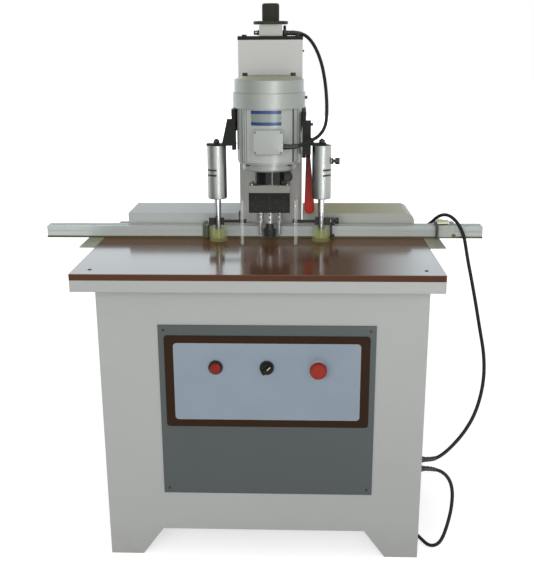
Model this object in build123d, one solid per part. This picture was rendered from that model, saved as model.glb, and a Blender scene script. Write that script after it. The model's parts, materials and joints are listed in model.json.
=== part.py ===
"""A hinge boring machine: a sheet-steel cabinet under a laminate table, a fence with stops, a column
with an air lift, a motor with a three-spindle gear head, two air clamps and a clear chip guard.

Millimetres. +Z is up and the operator stands on the -Y side. The origin is on the floor, under the
middle of the table and the fence.
"""

import math
import os

from build123d import *

# Table board and the channel frame under it
table_width = 900.0
table_depth = 620.0
table_height = 800.0
board_thickness = 16.0
frame_height = 29.0
frame_sheet = 2.5
frame_top_flange = 62.0
frame_bottom_flange = 95.0
table_bolt_inset = 42.0

# Cabinet
cabinet_x = 10.0
cabinet_width = 824.0
cabinet_setback = 55.0
cabinet_sheet = 2.0
foot_cut_height = 78.0
foot_width = 87.0
foot_slope = 57.0
foot_plate_size = 80.0
foot_plate_thickness = 6.0
anchor_hole_radius = 6.5

# Control panel and its switches
panel_x = 22.0
panel_width = 545.0
panel_height = 467.0
panel_bottom = 188.0
panel_thickness = 3.0
panel_screw_inset = 14.0
overlay_width = 516.0
overlay_height = 247.0
overlay_drop = 27.0
overlay_thickness = 1.5
overlay_corner = 8.0
switch_pitch = 129.0
switch_drop = 110.0
switch_barrel_radius = 11.0
contact_block_width = 30.0
contact_block_height = 44.0
contact_block_depth = 46.0
bezel_radius = 18.0
bezel_height = 6.0
lens_radius = 14.5
lens_height = 9.0
selector_radius = 14.0
selector_height = 9.0
selector_stem_radius = 6.0
selector_grip_width = 9.0
selector_grip_height = 9.0
selector_angle = 45.0
stop_collar_radius = 19.0
stop_collar_height = 12.0
stop_cap_radius = 21.5
stop_cap_height = 15.0
stop_stem_radius = 8.0
stop_travel = 5.0

# Electrics and air inside the cabinet
contactor_width = 90.0
contactor_depth = 75.0
contactor_height = 85.0
contactor_step = 18.0
contactor_z = 420.0
valve_width = 110.0
valve_depth = 40.0
valve_height = 50.0
valve_coil_length = 20.0
valve_coil_inset = 4.0
valve_z = 560.0
inlet_z = 520.0
inlet_x = 120.0
hose_radius = 4.0
inlet_bore_length = 18.0

# Fence, its end wings and its stops
fence_length = 1228.0
fence_height = 33.0
fence_depth = 42.0
fence_setback = 398.0
fence_toe = 4.0
fence_toe_height = 3.0
fence_slot_width = 8.0
fence_slot_lip = 3.0
fence_key_width = 14.0
fence_key_depth = 6.0
fence_groove_height = 4.0
fence_groove_depth = 2.0
fence_groove_z = 17.0
fence_wall = 5.0
wing_width = 44.0
wing_reach = 117.0
wing_sheet = 3.0
wing_leg = 36.0
saddle_sheet = 5.0
saddle_clearance = 0.4
saddle_rear_drop = 14.0
finger_sheet = 4.0
finger_reach = 18.0
left_stop_x = -170.0
left_saddle_width = 26.0
left_finger_x = 12.0
lock_screw_radius = 5.0
lock_screw_height = 3.0
right_stop_x = 189.0
right_saddle_width = 12.0
ear_setback = 2.0
ear_depth = 28.0
ear_rise = 15.0
ear_bolt_radius = 4.0
ear_bolt_neck = 3.0
ear_knob_radius = 9.0
ear_knob_length = 10.0
end_stop_inset = 130.0
end_saddle_width = 54.0
end_plate_inset = 3.0
end_plate_width = 33.0
end_plate_depth = 30.0
end_plate_gap = 2.6
end_plate_sheet = 6.0
end_knob_radius = 6.0
end_knob_height = 5.0
end_knob_inset = 8.0

# Rear covers beside the column
cover_width = 318.0
cover_height = 60.0
cover_sheet = 2.0
cover_gap = 10.0
cover_inset = 8.0
cover_round = 24.0

# Column, guide rods and the air lift
head_x = 20.0
column_width = 178.0
column_depth = 90.0
column_height = 536.0
column_sheet = 3.0
column_standoff = 110.0
column_cover_gap = 3.0
cap_thickness = 10.0
cap_overhang = 1.0
guide_rod_radius = 10.0
guide_rod_pitch = 110.0
guide_bush_wall = 4.0
guide_bush_length = 25.0
lift_stroke = 60.0
cylinder_radius = 36.0
cylinder_bore_radius = 31.5
cylinder_length = 140.0
cylinder_end_wall = 10.0
lift_rod_radius = 10.0
lift_rod_grip = 20.0
piston_length = 20.0
piston_clearance = 0.1
block_size = 62.0
block_height = 31.0
knob_disc_radius = 48.0
knob_disc_height = 8.0
knob_radius = 23.0
knob_height = 47.0
knob_gap = 0.3

# Boring head, from the table up
bit_setback = 22.5
tip_gap = 7.0
cutter_radius = 17.5
cutter_length = 37.0
cutter_point = 3.0
cutter_shank_radius = 5.0
cutter_shank_length = 22.0
nose_radius = 10.0
nose_length = 34.0
dowel_spacing = 52.0
dowel_offset = 5.5
dowel_bit_radius = 5.0
dowel_shank_radius = 4.0
gearbox_width = 112.0
gearbox_depth = 60.0
gearbox_height = 55.0
gearbox_floor = 9.0
gear_teeth = 24
gear_width = 15.0
gear_room = 2.0
lid_height = 20.0
spindle_radius = 5.0
shaft_radius = 7.5
small_bearing_radius = 11.0
small_bearing_width = 6.0
shaft_bearing_radius = 12.0
motor_bearing_radius = 17.5
motor_bearing_width = 11.0
running_clearance = 0.05

# Motor
motor_radius = 87.0
motor_bore_radius = 75.0
housing_height = 139.0
housing_top_wall = 12.0
fin_groove_width = 5.0
fin_groove_depth = 8.0
fin_grooves_per_side = 7
fin_groove_step = 14.0
flange_radius = 72.5
flange_rim_radius = 85.0
flange_rim_height = 6.0
flange_height = 27.0
flange_wall = 8.0
spigot_radius = 34.0
spigot_length = 41.0
collar_radius = 42.0
collar_height = 36.0
collar_drop = 3.0
collar_ear_reach = 56.0
collar_ear_radius = 14.0
collar_ear_depth = 30.0
collar_slit = 2.0
collar_screw_head = 9.0
fan_cover_radius = 96.0
fan_cover_height = 81.0
fan_band_height = 39.0
fan_drum_radius = 92.0
fan_shoulder_run = 18.0
fan_shoulder_rise = 9.0
fan_cover_sheet = 2.0
fan_cover_lip = 8.0
fan_guard_radius = 70.0
fan_guard_gap = 0.2
fan_bolt_inset = 6.0
fan_seam_turn = 45.0
fan_slot_count = 16
fan_radius = 74.0
fan_height = 26.0
fan_blades = 8
stator_height = 100.0
rotor_radius = 46.0
air_gap = 0.5
terminal_width = 76.0
terminal_height = 61.0
terminal_depth = 27.0
terminal_lift = 26.0
terminal_wall = 6.0
terminal_room = 16.0
terminal_out = 20.0
terminal_exit_lift = 18.0
mount_pad_width = 80.0
carriage_height = 85.0
carriage_lift = 16.0
carriage_plate_width = 110.0
carriage_plate = 10.0
carriage_neck_width = 70.0
carriage_slot_gap = 3.0
carriage_gap = 5.0
carriage_block_width = 150.0
carriage_block_depth = 60.0

# Clamps and the chip guard
clamp_pitch = 284.0
clamp_setback = 40.0
clamp_stroke = 50.0
barrel_radius = 26.0
barrel_bore_radius = 22.0
barrel_length = 144.0
barrel_lift = 120.0
barrel_end_wall = 10.0
barrel_chamfer = 1.5
clamp_rod_radius = 9.0
clamp_piston_length = 15.0
clamp_piston_radius = 21.9
pad_radius = 25.0
pad_height = 37.0
pad_gap = 1.0
pad_wall = 6.0
pad_floor = 9.0
arm_collar_radius = 17.0
arm_collar_height = 20.0
arm_collar_lift = 46.0
arm_lug_reach = 25.0
arm_lug_depth = 14.0
arm_front_reach = 6.0
arm_screw_head = 3.6
arm_screw_height = 2.5
arm_pin_radius = 4.0
arm_pin_end = 10.0
guard_width = 156.0
guard_reach = 73.0
guard_depth = 70.0
guard_height = 122.0
guard_gap = 2.0
guard_sheet = 3.0
guard_bend = 9.0
bracket_sheet = 10.0
right_leg_width = 23.0
right_bracket_drop = 9.0
right_leg_step = 22.0
right_arm_end = 12.0
right_gusset_run = 10.0
right_gusset_rise = 16.0
right_gusset_step = 3.0
right_leg_drop = 24.0
bracket_rise = 96.0
bracket_band = 60.0
bracket_overlap = 70.0
bracket_leg_depth = 26.0
arm_thickness = 5.0
arm_depth = 36.0
gusset_run = 27.0
gusset_rise = 66.0
gusset_step = 12.0
leg_drop = 11.0
clamp_stud_radius = 4.0
clamp_nut_radius = 8.0
clamp_nut_height = 9.0
clamp_stud_end = 3.0
cap_plug_height = 10.0
flow_port_drop = 43.0
flow_stem_radius = 4.5
flow_stem_in = 6.0
flow_stem_out = 5.0
flow_knob_radius = 9.0
flow_knob_height = 12.0
flow_boss_radius = 8.0
flow_boss_height = 5.0

# Red lock lever on the right bracket
lever_setback = 52.5
lever_drop = 66.0
lever_length = 156.0
lever_pin_radius = 5.0
lever_pin_length = 13.0
lever_hub_radius = 12.0
lever_top_radius = 5.5
lever_end_radius = 14.5
lever_end_shift = 5.0
lever_thickness = 14.0
lever_side_gap = 0.4

# Screws
small_screw_head = 3.0
small_screw_shank = 1.6
small_screw_head_height = 2.0
small_screw_length = 8.0
bolt_head = 5.0
bolt_shank = 3.0
bolt_head_height = 4.0
flush_head_height = 1.0
side_bolt_head = 4.0
side_bolt_head_height = 6.0
side_bolt_drop = 32.0
fan_side_bolt_lift = 25.0

# Cords and their glands
cable_diameter = 9.5
gland_radius = 9.0
gland_nut_length = 9.0
gland_dome_radius = 7.0
gland_dome_length = 8.0
gland_thread_radius = 7.5
gland_upper_z = 258.0
gland_lower_z = 231.0
gland_setback = 65.0
cover_gland_setback = 158.0
cover_gland_lift = 18.0
elbow_reach = 39.0
elbow_lift = 8.0
elbow_base_height = 15.0
elbow_neck_radius = 4.5
elbow_height = 28.0
fitting_lift = 9.0
fitting_length = 16.0
coil_x = 320.0
coil_y = 20.0
coil_outer_radius = 67.0
coil_half_turns_per_layer = 6
coil_pitch = 10.5
coil_layer_rise = 10.3
coil_inner_step = 6.5
coil_tail_radius = 92.0
coil_floor_gap = 0.3
plug_width = 36.0
plug_length = 42.0
plug_corner = 6.0
plug_pin_length = 17.0
plug_pin_width = 6.3
plug_pin_thickness = 1.6
plug_pin_pitch = 12.7
plug_pin_rise = 4.5

# Levels and planes that follow from the sizes above
front_y = -table_depth / 2
back_y = table_depth / 2
board_bottom = table_height - board_thickness
cabinet_top = board_bottom - frame_height
cabinet_left = cabinet_x - cabinet_width / 2
cabinet_right = cabinet_x + cabinet_width / 2
cabinet_front = front_y + cabinet_setback
cabinet_back = back_y - cabinet_setback
panel_top = panel_bottom + panel_height
panel_face = cabinet_front - panel_thickness
overlay_face = panel_face - overlay_thickness
overlay_top = panel_top - overlay_drop
switch_z = panel_top - switch_drop
switch_xs = [panel_x - switch_pitch, panel_x, panel_x + switch_pitch]
fence_front = front_y + fence_setback
fence_back = fence_front + fence_depth
fence_top = table_height + fence_height
saddle_top = fence_top + saddle_clearance + saddle_sheet
bit_y = fence_front - bit_setback
clamp_y = fence_front - clamp_setback
clamp_xs = [head_x - clamp_pitch / 2, head_x + clamp_pitch / 2]
column_left = head_x - column_width / 2
column_right = head_x + column_width / 2
column_front = bit_y + column_standoff
column_back = column_front + column_depth
column_top = table_height + column_height
cap_top = column_top + cap_thickness
block_top = cap_top + block_height
lift_y = column_front + column_depth / 2
cutter_bottom = table_height + tip_gap + cutter_point
nose_bottom = cutter_bottom + cutter_length
gearbox_bottom = nose_bottom + nose_length
lid_bottom = gearbox_bottom + gearbox_height
lid_top = lid_bottom + lid_height
flange_bottom = lid_top + spigot_length
housing_bottom = flange_bottom + flange_height
housing_top = housing_bottom + housing_height
fan_cover_top = housing_top + fan_cover_height
fan_band_top = housing_top + fan_band_height
fan_cover_top_radius = fan_drum_radius - fan_shoulder_run
carriage_bottom = housing_bottom + carriage_lift
carriage_top = carriage_bottom + carriage_height
carriage_plate_front = column_front - carriage_gap - carriage_plate
barrel_bottom = table_height + barrel_lift
barrel_top = barrel_bottom + barrel_length
arm_top = barrel_top + arm_thickness
bracket_top = barrel_top + bracket_rise
lever_y = bit_y + lever_setback
lever_z = bracket_top - bracket_band - lever_drop
gear_centre_distance = math.hypot(dowel_spacing / 2, dowel_offset)
gear_module = 2 * gear_centre_distance / (2 * gear_teeth)
gear_z = gearbox_bottom + gearbox_floor + gear_room
dowel_xs = [head_x - dowel_spacing / 2, head_x + dowel_spacing / 2]
dowel_y = bit_y + dowel_offset
end_stop_x = fence_length / 2 - end_stop_inset
gland_y = cabinet_front + gland_setback
cover_gland_y = back_y - cover_gland_setback
cover_gland_z = table_height + cover_gland_lift
elbow_x = head_x + elbow_reach
elbow_z = cap_top + elbow_lift
drive_phase = 0.0
floor_z = cable_diameter / 2 + coil_floor_gap
coil_entry = coil_y - cable_diameter
gland_length = gland_nut_length + gland_dome_length
collar_screw_x = head_x + (collar_radius + collar_ear_reach) / 2
collar_screw_z = lid_top + collar_drop + collar_height / 2
terminal_exit_x = head_x + terminal_width / 2 + gland_dome_length
terminal_front = bit_y - motor_radius - terminal_out
terminal_exit_y = terminal_front + terminal_depth / 2 - 1
terminal_exit_z = housing_bottom + terminal_lift + terminal_exit_lift
cover_end = head_x + column_width / 2 + column_cover_gap + cover_width
cover_bushing_end = cover_end + gland_nut_length
stem_depth = bezel_height + stop_collar_height


def block(x0, x1, y0, y1, z0, z1):
    """A box between two corners."""
    centre = Pos((x0 + x1) / 2, (y0 + y1) / 2, (z0 + z1) / 2)
    return centre * Box(abs(x1 - x0), abs(y1 - y0), abs(z1 - z0))


def post(radius, x, y, z0, z1):
    """A round bar along Z."""
    return Pos(x, y, (z0 + z1) / 2) * Cylinder(radius, abs(z1 - z0))


def bar_x(radius, x0, x1, y, z):
    """A round bar along X."""
    return Pos((x0 + x1) / 2, y, z) * Rot(0, 90, 0) * Cylinder(radius, abs(x1 - x0))


def bar_y(radius, x, y0, y1, z):
    """A round bar along Y."""
    return Pos(x, (y0 + y1) / 2, z) * Rot(90, 0, 0) * Cylinder(radius, abs(y1 - y0))


def prism(points, run):
    """A flat outline pushed along the vector run."""
    way = Vector(*run)
    face = make_face(Polyline(*points, close=True))
    return extrude(face, amount=way.length, dir=way.normalized())


def ring(outer, inner, x, y, z0, z1):
    """A washer or bearing about a Z axis."""
    return post(outer, x, y, z0, z1) - post(inner, x, y, z0, z1)


def screw_down(x, y, z, head, height, shank, length):
    """A screw standing in a face that looks up, its head on the face."""
    return post(head, x, y, z, z + height) + post(shank, x, y, z - length, z)


def screw_in(x, y, z, head, height, shank, length):
    """A screw in a face that looks to the front, its head on the face."""
    return bar_y(head, x, y - height, y, z) + bar_y(shank, x, y, y + length, z)


# Cabinet
def foot_cut_along_x(y0, y1):
    """The cut under a front or rear wall that leaves a foot at each end, with sloping sides."""
    low = [cabinet_left + foot_width, cabinet_right - foot_width]
    high = [low[0] + foot_slope, low[1] - foot_slope]
    points = [(low[0], y0, 0), (high[0], y0, foot_cut_height), (high[1], y0, foot_cut_height), (low[1], y0, 0)]
    return prism(points, (0, y1 - y0, 0))


def foot_cut_along_y(x0, x1):
    """The same cut under a side wall."""
    low = [cabinet_front + foot_width, cabinet_back - foot_width]
    high = [low[0] + foot_slope, low[1] - foot_slope]
    points = [(x0, low[0], 0), (x0, high[0], foot_cut_height), (x0, high[1], foot_cut_height), (x0, low[1], 0)]
    return prism(points, (x1 - x0, 0, 0))


def panel_screw_places():
    left = panel_x - panel_width / 2 + panel_screw_inset
    right = panel_x + panel_width / 2 - panel_screw_inset
    low = panel_bottom + panel_screw_inset
    high = panel_top - panel_screw_inset
    return [(x, z) for x in (left, right) for z in (low, high)]


def make_front_wall():
    inner = cabinet_front + cabinet_sheet
    wall = block(cabinet_left, cabinet_right, cabinet_front, inner, 0, cabinet_top)
    wall -= foot_cut_along_x(cabinet_front, inner)
    for x in switch_xs:
        wall -= bar_y(switch_barrel_radius + running_clearance, x, cabinet_front, inner, switch_z)
    for x, z in panel_screw_places():
        wall -= bar_y(small_screw_shank, x, cabinet_front, inner, z)
    return wall


def make_rear_wall():
    inner = cabinet_back - cabinet_sheet
    wall = block(cabinet_left, cabinet_right, inner, cabinet_back, 0, cabinet_top)
    wall -= foot_cut_along_x(inner, cabinet_back)
    return wall - bar_y(gland_thread_radius, inlet_x, inner, cabinet_back, inlet_z)


def make_side_wall(outer, inner):
    wall = block(outer, inner, cabinet_front + cabinet_sheet, cabinet_back - cabinet_sheet, 0, cabinet_top)
    return wall - foot_cut_along_y(min(outer, inner), max(outer, inner))


def make_right_wall():
    inner = cabinet_right - cabinet_sheet
    wall = make_side_wall(inner, cabinet_right)
    for z in (gland_upper_z, gland_lower_z):
        wall -= bar_x(gland_thread_radius, inner, cabinet_right, gland_y, z)
    return wall


def make_foot_plates():
    plates = []
    half = foot_plate_size / 2
    for x in (cabinet_left + cabinet_sheet + half, cabinet_right - cabinet_sheet - half):
        for y in (cabinet_front + cabinet_sheet + half, cabinet_back - cabinet_sheet - half):
            plate = block(x - half, x + half, y - half, y + half, 0, foot_plate_thickness)
            plates.append(plate - post(anchor_hole_radius, x, y, 0, foot_plate_thickness))
    return plates


# Table
def table_bolt_places():
    x = table_width / 2 - table_bolt_inset
    y = table_depth / 2 - table_bolt_inset
    return [(-x, -y), (x, -y), (-x, y), (x, y)]


def make_table_frame():
    """Four channels, each with its web outside, a flange under the board and one on the cabinet."""
    x = table_width / 2
    y = table_depth / 2
    wide = frame_sheet
    top = frame_top_flange
    low = frame_bottom_flange
    web_low = cabinet_top + wide
    web_high = board_bottom - wide
    channels = []
    for side in (-1, 1):
        channel = block(-x, x, side * (y - wide), side * y, web_low, web_high)
        channel += block(-x, x, side * (y - top), side * y, web_high, board_bottom)
        channel += block(-x, x, side * (y - low), side * y, cabinet_top, web_low)
        for bolt_x, bolt_y in table_bolt_places():
            channel -= post(bolt_shank, bolt_x, bolt_y, web_high, board_bottom)
        channels.append(channel)
    for side in (-1, 1):
        channel = block(side * (x - wide), side * x, wide - y, y - wide, web_low, web_high)
        channel += block(side * (x - top), side * x, top - y, y - top, web_high, board_bottom)
        channel += block(side * (x - low), side * x, low - y, y - low, cabinet_top, web_low)
        channels.append(channel)
    return channels


def make_table_board():
    x = table_width / 2
    y = table_depth / 2
    board = block(-x, x, -y, y, board_bottom, table_height)
    for bolt_x, bolt_y in table_bolt_places():
        board -= post(bolt_shank, bolt_x, bolt_y, board_bottom, table_height)
    return board


# Control panel
def make_control_plate():
    left = panel_x - panel_width / 2
    plate = block(left, left + panel_width, panel_face, cabinet_front, panel_bottom, panel_top)
    for x in switch_xs:
        plate -= bar_y(switch_barrel_radius + running_clearance, x, panel_face, cabinet_front, switch_z)
    for x, z in panel_screw_places():
        plate -= bar_y(small_screw_shank, x, panel_face, cabinet_front, z)
    return plate


def make_panel_overlay():
    sketch = RectangleRounded(overlay_width, overlay_height, overlay_corner)
    middle = (panel_x, panel_face, overlay_top - overlay_height / 2)
    sheet = extrude(Plane(middle, x_dir=(1, 0, 0), z_dir=(0, -1, 0)) * sketch, amount=overlay_thickness)
    for x in switch_xs:
        sheet -= bar_y(switch_barrel_radius + running_clearance, x, overlay_face, panel_face, switch_z)
    return sheet


def switch_body(x, face_radius, face_height, bore_radius, bore_depth):
    """A panel switch: the ring on the face, the barrel through the panel and the contact block behind."""
    inner = cabinet_front + cabinet_sheet
    back = inner + contact_block_depth
    body = bar_y(face_radius, x, overlay_face - face_height, overlay_face, switch_z)
    body += bar_y(switch_barrel_radius, x, overlay_face, inner, switch_z)
    half = contact_block_width / 2
    tall = contact_block_height / 2
    body += block(x - half, x + half, inner, back, switch_z - tall, switch_z + tall)
    bore_end = overlay_face - face_height + bore_depth
    return body - bar_y(bore_radius, x, overlay_face - face_height, bore_end, switch_z)


def make_switch_bodies():
    lamp = switch_body(switch_xs[0], bezel_radius, bezel_height, lens_radius, bezel_height / 2)
    selector_bore = selector_stem_radius + running_clearance
    selector = switch_body(switch_xs[1], bezel_radius, bezel_height, selector_bore, stem_depth)
    stop_bore = stop_stem_radius + running_clearance
    stop_depth = stem_depth + stop_travel
    stop = switch_body(switch_xs[2], stop_collar_radius, stop_collar_height, stop_bore, stop_depth)
    return [lamp, selector, stop]


def make_lamp_lens():
    seat = overlay_face - bezel_height / 2
    lens = bar_y(lens_radius, switch_xs[0], seat - bezel_height / 2 - lens_height, seat, switch_z)
    front = lens.faces().sort_by(Axis.Y)[0]
    return fillet(front.edges(), lens_height * 0.6)


def make_selector_knob():
    face = overlay_face - bezel_height - knob_gap
    x = switch_xs[1]
    knob = bar_y(selector_radius, x, face - selector_height, face, switch_z)
    knob += bar_y(selector_stem_radius, x, face, face + stem_depth - 1, switch_z)
    half = selector_grip_width / 2
    grip = block(-selector_radius, selector_radius, -selector_grip_height, 0, -half, half)
    turned = Pos(x, face - selector_height, switch_z) * Rot(0, -selector_angle, 0) * grip
    return knob + turned


def make_stop_button():
    x = switch_xs[2]
    face = overlay_face - stop_collar_height - stop_travel - knob_gap
    cap = bar_y(stop_cap_radius, x, face - stop_cap_height, face, switch_z)
    front = cap.faces().sort_by(Axis.Y)[0]
    cap = fillet(front.edges(), stop_cap_height * 0.55)
    return cap + bar_y(stop_stem_radius, x, face, face + stem_depth + stop_travel - 1, switch_z)


# Electrics and air
def make_contactor():
    """The motor contactor with its overload relay, fixed inside the front wall."""
    y0 = cabinet_front + cabinet_sheet
    y1 = y0 + contactor_depth
    left = panel_x - contactor_width / 2
    right = panel_x + contactor_width / 2
    body = block(left, right, y0, y1, contactor_z - contactor_height, contactor_z)
    for level in (contactor_z - contactor_step, contactor_z - contactor_height):
        body -= block(left, right, y1 - contactor_step, y1, level, level + contactor_step)
    return body


def make_air_valve():
    """The valve block that feeds the lift and the clamps, fixed inside the rear wall."""
    y1 = cabinet_back - cabinet_sheet
    y0 = y1 - valve_depth
    half = valve_width / 2
    top = valve_z + valve_height
    body = block(head_x - half, head_x + half, y0, y1, valve_z, top)
    for side in (-1, 1):
        near = head_x + side * half
        far = near + side * valve_coil_length
        body += block(near, far, y0 + valve_coil_inset, y1 - valve_coil_inset, valve_z, top)
    return body


# Fence
def make_fence():
    """An extrusion with a toe, a front groove, a slot along its top and a hollow core."""
    x0 = -fence_length / 2
    z0 = table_height
    middle = fence_front + fence_depth / 2
    key = fence_key_width / 2
    slot = fence_slot_width / 2
    lip = fence_top - fence_slot_lip
    floor = lip - fence_key_depth
    groove_low = z0 + fence_groove_z
    groove_high = groove_low + fence_groove_height
    outline = [
        (fence_front - fence_toe, z0),
        (fence_front - fence_toe, z0 + fence_toe_height),
        (fence_front, z0 + fence_toe_height),
        (fence_front, groove_low),
        (fence_front + fence_groove_depth, groove_low),
        (fence_front + fence_groove_depth, groove_high),
        (fence_front, groove_high),
        (fence_front, fence_top),
        (middle - slot, fence_top),
        (middle - slot, lip),
        (middle - key, lip),
        (middle - key, floor),
        (middle + key, floor),
        (middle + key, lip),
        (middle + slot, lip),
        (middle + slot, fence_top),
        (fence_back, fence_top),
        (fence_back, z0),
    ]
    body = prism([(x0, y, z) for y, z in outline], (fence_length, 0, 0))
    core_top = floor - fence_wall
    core = block(x0, -x0, fence_front + fence_wall, fence_back - fence_wall, z0 + fence_wall, core_top)
    return body - core


def make_fence_wings():
    """Angle plates at the table's ends that carry the ends of the fence."""
    wings = []
    half = table_width / 2
    front = fence_front - wing_reach
    for side in (-1, 1):
        inner = side * half
        outer = side * (half + wing_width)
        wing = block(inner, outer, front, fence_back, table_height - wing_sheet, table_height)
        leg = side * (half + wing_sheet)
        wing += block(inner, leg, front, fence_back, table_height - wing_leg, table_height - wing_sheet)
        wings.append(wing)
    return wings


def saddle_and_finger(x0, width, finger_x):
    """What every stop has: a saddle that rides over the fence, and the finger a board is pushed against."""
    gap = saddle_clearance
    front = fence_front - gap - saddle_sheet
    back = fence_back + gap + saddle_sheet
    low = table_height + fence_toe_height + 1
    saddle = block(x0, x0 + width, front, back, low, saddle_top)
    saddle -= block(x0, x0 + width, fence_front - gap, fence_back + gap, low, fence_top + gap)
    saddle -= block(x0, x0 + width, fence_back + gap, back, low, fence_top - saddle_rear_drop)
    left = x0 + finger_x
    finger = block(left, left + finger_sheet, front - finger_reach, front, low, saddle_top)
    return saddle, finger


def make_left_stop():
    """The low stop, held by a flat screw."""
    saddle, finger = saddle_and_finger(left_stop_x, left_saddle_width, left_finger_x)
    x = left_stop_x + left_finger_x / 2
    y = fence_front + fence_depth / 4
    screw = post(lock_screw_radius, x, y, saddle_top, saddle_top + lock_screw_height)
    return [saddle, finger, screw]


def make_right_stop():
    """The narrow stop, with an upright ear and a knob on the ear's right."""
    saddle, finger = saddle_and_finger(right_stop_x, right_saddle_width, 0)
    right = right_stop_x + right_saddle_width
    y0 = fence_front + ear_setback
    saddle += block(right_stop_x, right, y0, y0 + ear_depth, saddle_top, saddle_top + ear_rise)
    y = y0 + ear_depth / 2
    z = saddle_top + ear_rise / 2
    knob = bar_x(ear_bolt_radius, right, right + ear_bolt_neck, y, z)
    knob += bar_x(ear_knob_radius, right + ear_bolt_neck, right + ear_bolt_neck + ear_knob_length, y, z)
    return [saddle, finger, knob]


def make_end_stop():
    """The wide stop at the fence's end, with a clamp plate on a stem and a low knob."""
    saddle, finger = saddle_and_finger(end_stop_x, end_saddle_width, 0)
    x0 = end_stop_x + end_plate_inset
    y0 = fence_front - saddle_sheet
    y = y0 + end_plate_depth / 2
    low = saddle_top + end_plate_gap
    high = low + end_plate_sheet
    plate = block(x0, x0 + end_plate_width, y0, y0 + end_plate_depth, low, high)
    plate += post(lock_screw_radius, x0 + end_plate_width / 2, y, saddle_top, low)
    knob = post(end_knob_radius, x0 + end_knob_inset, y, high, high + end_knob_height)
    return [saddle, finger, plate, knob]


# Rear covers
def make_rear_covers():
    """Sheet boxes on the table behind the fence, one each side of the column, open underneath."""
    y0 = fence_back + cover_gap
    y1 = back_y - cover_inset
    z1 = table_height + cover_height
    covers = []
    for side in (-1, 1):
        near = head_x + side * (column_width / 2 + column_cover_gap)
        far = near + side * cover_width
        shell = block(near, far, y0, y1, table_height, z1)
        end = shell.faces().sort_by(Axis.X)[-1 if side > 0 else 0]
        edge = end.edges().sort_by(Axis.Z)[-1]
        if side > 0:
            shell = fillet(edge, cover_round)
        low = min(near, far) + cover_sheet
        high = max(near, far) - cover_sheet
        hollow = block(low, high, y0 + cover_sheet, y1 - cover_sheet, table_height, z1 - cover_sheet)
        if side > 0:
            end = hollow.faces().sort_by(Axis.X)[-1]
            hollow = fillet(end.edges().sort_by(Axis.Z)[-1], cover_round - cover_sheet)
            shell -= bar_x(gland_thread_radius, far - cover_sheet, far, cover_gland_y, cover_gland_z)
        covers.append(shell - hollow)
    return covers


# Column and lift
def make_column():
    column = block(column_left, column_right, column_front, column_back, table_height, column_top)
    sheet = column_sheet
    left = column_left + sheet
    right = column_right - sheet
    column -= block(left, right, column_front + sheet, column_back - sheet, table_height, column_top)
    half = carriage_neck_width / 2 + carriage_slot_gap
    slot_low = carriage_bottom - carriage_slot_gap
    slot_high = carriage_top + lift_stroke + carriage_slot_gap
    column -= block(head_x - half, head_x + half, column_front, column_front + sheet, slot_low, slot_high)
    for x, y, z in column_screw_places():
        column -= bar_x(small_screw_shank, x - sheet, x + sheet, y, z)
    return column


def column_screw_places():
    y = column_front + column_depth / 5
    levels = (column_top - 30, column_top - 130)
    return [(column_right, y, z) for z in levels]


def cap_bolt_places():
    x = column_width / 2 - 3 * bolt_head
    y = column_depth / 2 - 2 * bolt_head
    return [(head_x + sx * x, lift_y + sy * y) for sx in (-1, 1) for sy in (-1, 1)]


def make_column_cap():
    over = cap_overhang
    cap = block(
        column_left - over, column_right + over, column_front - over, column_back + over, column_top, cap_top
    )
    cap -= post(lift_rod_radius + 4, head_x, lift_y, column_top, cap_top)
    for x, y in cap_bolt_places():
        cap -= post(bolt_shank, x, y, column_top, cap_top)
    return cap


def guide_rod_xs():
    return [head_x - guide_rod_pitch / 2, head_x + guide_rod_pitch / 2]


def make_guide_rods():
    return [post(guide_rod_radius, x, lift_y, table_height, column_top) for x in guide_rod_xs()]


def make_lift_cylinder():
    low = column_top - cylinder_length
    tube = post(cylinder_radius, head_x, lift_y, low, column_top)
    tube -= post(cylinder_bore_radius, head_x, lift_y, low + cylinder_end_wall, column_top)
    return tube - post(lift_rod_radius + running_clearance, head_x, lift_y, low, low + cylinder_end_wall)


def make_cylinder_head():
    half = block_size / 2
    head = block(head_x - half, head_x + half, lift_y - half, lift_y + half, cap_top, block_top)
    return head - post(lift_rod_radius + running_clearance, head_x, lift_y, cap_top, block_top)


def make_lift_rod():
    """The lift's rod, right through the cylinder, with its piston near the bottom of the stroke."""
    top = block_top + knob_gap + knob_disc_height + knob_height * 0.7
    rod = post(lift_rod_radius, head_x, lift_y, carriage_top - lift_rod_grip, top)
    piston_low = column_top - cylinder_length + cylinder_end_wall + 1
    radius = cylinder_bore_radius - piston_clearance
    return rod + post(radius, head_x, lift_y, piston_low, piston_low + piston_length)


def make_depth_knob():
    """The disc and grip screwed on the rod's upper end: the disc meets the block at full depth."""
    low = block_top + knob_gap
    mid = low + knob_disc_height
    top = mid + knob_height
    disc = post(knob_disc_radius, head_x, lift_y, low, mid)
    grip = post(knob_radius, head_x, lift_y, mid, top)
    grip = chamfer(grip.faces().sort_by(Axis.Z)[-1].edges(), 2)
    bore = post(lift_rod_radius + running_clearance, head_x, lift_y, low, mid + knob_height * 0.7 + knob_gap)
    return disc + grip - bore


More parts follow.
